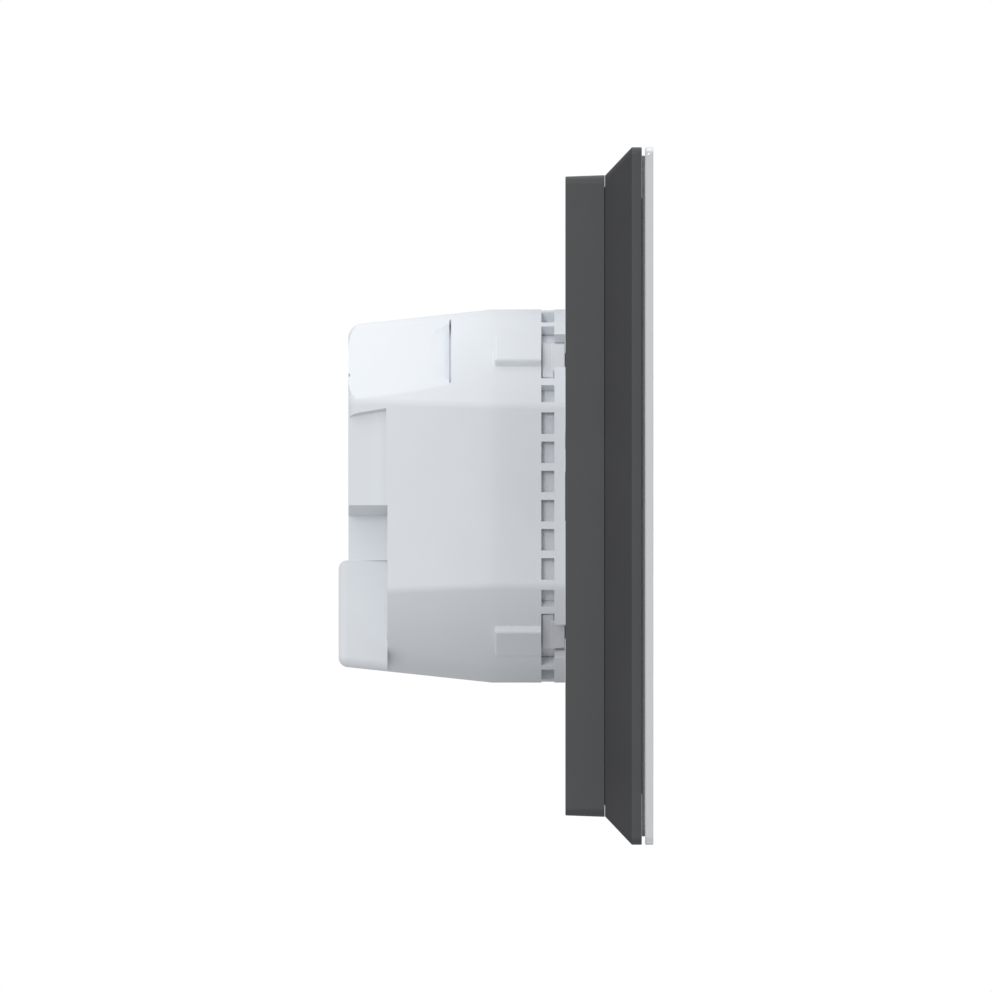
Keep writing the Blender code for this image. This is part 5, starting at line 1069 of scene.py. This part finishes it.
def makeRing():
    r = ring
    half = ringHigh.x
    outlines = [roundRect(0, 0, half, half, r["radius"]),
                roundRect(0, 0, r["windowX"], r["windowZ"], r["radius"])]
    for x, z in ((1, 0), (-1, 0), (0, 1), (0, -1)):
        wide, tall = (r["slotWide"], r["slotLong"]) if z == 0 else (r["slotLong"], r["slotWide"])
        outlines.append(roundRect(x * r["spacing"], z * r["spacing"], wide, tall, r["slotWide"] * 0.98, 10))
    for x, z in fourWays(r["spacing"], r["spacing"]):
        outlines.append(circle(x, z, r["cornerHole"]))
    for x, z in fourWays(r["screwX"], r["screwZ"]):
        outlines.append(circle(x, z, r["hole"]))
    piece = flatSheet("supportRing", outlines, ringLow.y, ringHigh.y, 0.07 * mm)
    for x, z in fourWays(r["screwX"], r["screwZ"]):
        cut(piece, rod(x, z, r["sunk"] + 0.4 * mm, ringLow.y - 0.4 * mm, ringLow.y + r["sunk"] - r["hole"],
                       40, r["hole"]))
    polish(piece)
    return done(piece, zincPlate, "wall_unit", "zinc_steel", "support_ring")


makeRing()
print("support ring made")


# Screws, each with a cross recess
def screwOn(node, body, kind, toRear):
    low, high = span(node)
    x, z = (low.x + high.x) / 2, (low.z + high.z) / 2
    y = high.y if toRear else low.y
    length = high.y - low.y
    head, shank, tall = kind["head"], kind["shank"], kind["tall"]
    if kind["sunk"]:
        profile = [(0, -0.0), (head - 0.12 * mm, 0), (head - 0.03 * mm, -0.05 * mm), (head, -0.2 * mm)]
        profile += [(shank, -0.2 * mm - (head - shank)), (shank, -length + shank), (0, -length)]
    else:
        dome = arc((head - 0.55 * mm, -0.55 * mm), 0.55 * mm, pi / 2, 0, 6)
        profile = [(0, 0), *dome, (head, -tall + 0.06 * mm), (head - 0.06 * mm, -tall), (shank, -tall)]
        thread = []
        turns = int((length - tall) / (0.5 * mm))
        for i in range(turns):
            top = -tall - 0.2 * mm - i * 0.5 * mm
            thread += [(shank, top), (shank - 0.14 * mm, top - 0.2 * mm), (shank - 0.14 * mm, top - 0.28 * mm)]
        profile += [point for point in thread if point[1] > -length + 0.3 * mm]
        profile += [(shank - 0.14 * mm, -length + 0.1 * mm), (shank - 0.3 * mm, -length), (0, -length)]
    piece = lathe(node + "_fine", profile, (x, y, z), toRear)
    arm, width, depth = kind["recess"]
    sign = -1 if toRear else 1
    for longX, longZ in ((arm, width), (width, arm)):
        yEnds = sorted((y + sign * depth, y - sign * mm))
        tool = block((x - longX / 2, yEnds[0], z - longZ / 2), (x + longX / 2, yEnds[1], z + longZ / 2))
        cut(piece, tool)
    pit = rod(x, z, width * 0.9, *sorted((y + sign * depth, y - sign * mm)), 16)
    cut(piece, pit)
    soften(piece, 0.03 * mm, 2, 50)
    polish(piece, 35)
    done(piece, screwZinc, body, "zinc_steel", node)


kinds = {
    "case_screw": dict(head=2.3 * mm, shank=1.05 * mm, tall=1.2 * mm, sunk=False,
                       recess=(2.6 * mm, 0.6 * mm, 0.8 * mm)),
    "board_screw": dict(head=1.9 * mm, shank=0.85 * mm, tall=1.1 * mm, sunk=False,
                        recess=(2.2 * mm, 0.5 * mm, 0.6 * mm)),
    "terminal_screw": dict(head=1.5 * mm, shank=0.9 * mm, tall=1.0 * mm, sunk=False,
                           recess=(2.2 * mm, 0.5 * mm, 0.6 * mm)),
    "ring_screw": dict(head=1.9 * mm, shank=0.95 * mm, tall=0.2 * mm, sunk=True,
                       recess=(2.4 * mm, 0.5 * mm, 0.7 * mm)),
}
for number in range(1, 5):
    screwOn(f"case_screw_{number}", "front_panel", kinds["case_screw"], True)
    screwOn(f"board_screw_{number}", "front_panel", kinds["board_screw"], False)
    screwOn(f"terminal_screw_{number}", "wall_unit", kinds["terminal_screw"], True)
    screwOn(f"ring_screw_{number}", "wall_unit", kinds["ring_screw"], False)
print("screws made")

# CAD nodes that stay, each with its own finish
kept = {
    "interface_board": boardGreen, "power_board": boardGreen,
    "main_board": boardGreen, "touch_board": boardGreen,
    "plug_header": blackMoulding, "board_socket": blackMoulding, "transformer": blackMoulding,
    "buzzer": blackMoulding, "tamper_switch": blackMoulding, "setup_switch": blackMoulding,
    "header_pins": brassPin, "board_link": brassPin, "bulk_capacitor": canSilver, "radio_module": canSilver,
    "line_choke": copperWinding, "terminal_block": terminalGrey, "light_guide": paleMoulding,
    "display_holder": paleMoulding, "tamper_plunger": paleMoulding, "setup_button": paleMoulding,
    "legend_film": filmWhite, "display_module": chipBlack, "processor": chipBlack,
    "display_ribbon": flexAmber, "tamper_spring": springBright,
    **{f"terminal_clamp_{number}": brassPin for number in range(1, 5)},
    **{f"panel_clip_{number}": springBright for number in range(1, 5)},
}
for name, material in kept.items():
    node = nodes[name]
    node.data.materials.clear()
    node.data.materials.append(material)
print("carried-over parts finished:", len(kept))

# Floor, light and camera
stage = dict(
    floor=-0.0502, floorHalf=3.0, key=1.9, keyPlace=(-0.93, 0.26, 0.25), keySize=0.22,
    side=0.51, overhead=1.0, below=-0.16, horizonHalf=0.012, horizon=1.02,
    cameraX=-1.2, viewWidth=0.1422,
)


def makeStage():
    bm = bmesh.new()
    corners = [bm.verts.new((x * stage["floorHalf"], y * stage["floorHalf"], stage["floor"]))
               for x, y in ((-1, -1), (1, -1), (1, 1), (-1, 1))]
    bm.faces.new(corners)
    floor = thing("floor", bm)
    paint = Paint("floorPale")
    cloud = paint.noise(6.0, 3.0)
    floor.data.materials.append(paint.finish(
        paint.blend(cloud, (0.86, 0.86, 0.86), (0.88, 0.88, 0.88)), 0.6 + cloud * 0.05))
    floor.visible_diffuse = floor.visible_glossy = False


def areaLight(name, place, target, size, power):
    lamp = bpy.data.lights.new(name, "AREA")
    lamp.shape, lamp.size, lamp.energy = "DISK", size, power
    holder = bpy.data.objects.new(name, lamp)
    bpy.context.scene.collection.objects.link(holder)
    holder.location = place
    holder.rotation_euler = (Vector(target) - Vector(place)).to_track_quat("-Z", "Y").to_euler()


def makeSky():                                          # brighter overhead, white along the horizon
    world = bpy.data.worlds.new("softRoom")
    bpy.context.scene.world = world
    paint = Paint("softRoom", world)
    height = paint.axes()[2]
    level = stage["side"] + height.highest(0.0) * stage["overhead"] + height.lowest(0.0) * stage["below"]
    horizon = abs(height) < stage["horizonHalf"]
    glow = level * (1 - horizon) + stage["horizon"] * horizon
    light = paint.node("ShaderNodeBackground", {}, {0: (0.985, 0.992, 1.0, 1.0), 1: glow})
    paint.close(light, "ShaderNodeOutputWorld")


def makeCamera():
    lens = bpy.data.cameras.new("sideCamera")
    lens.type, lens.ortho_scale = "ORTHO", stage["viewWidth"]
    lens.clip_start, lens.clip_end = 0.01, 20.0
    camera = bpy.data.objects.new("sideCamera", lens)
    bpy.context.scene.collection.objects.link(camera)
    middle = (cadBox[0] + cadBox[1]) / 2
    camera.location = (stage["cameraX"], middle.y, middle.z)
    camera.rotation_euler = (pi / 2, 0, -pi / 2)
    bpy.context.scene.camera = camera


makeStage()
makeSky()
areaLight("keyLight", stage["keyPlace"], (0, 0, 0), stage["keySize"], stage["key"])
makeCamera()
bpy.context.scene.view_settings.view_transform = "Standard"
print("stage, light and camera made")
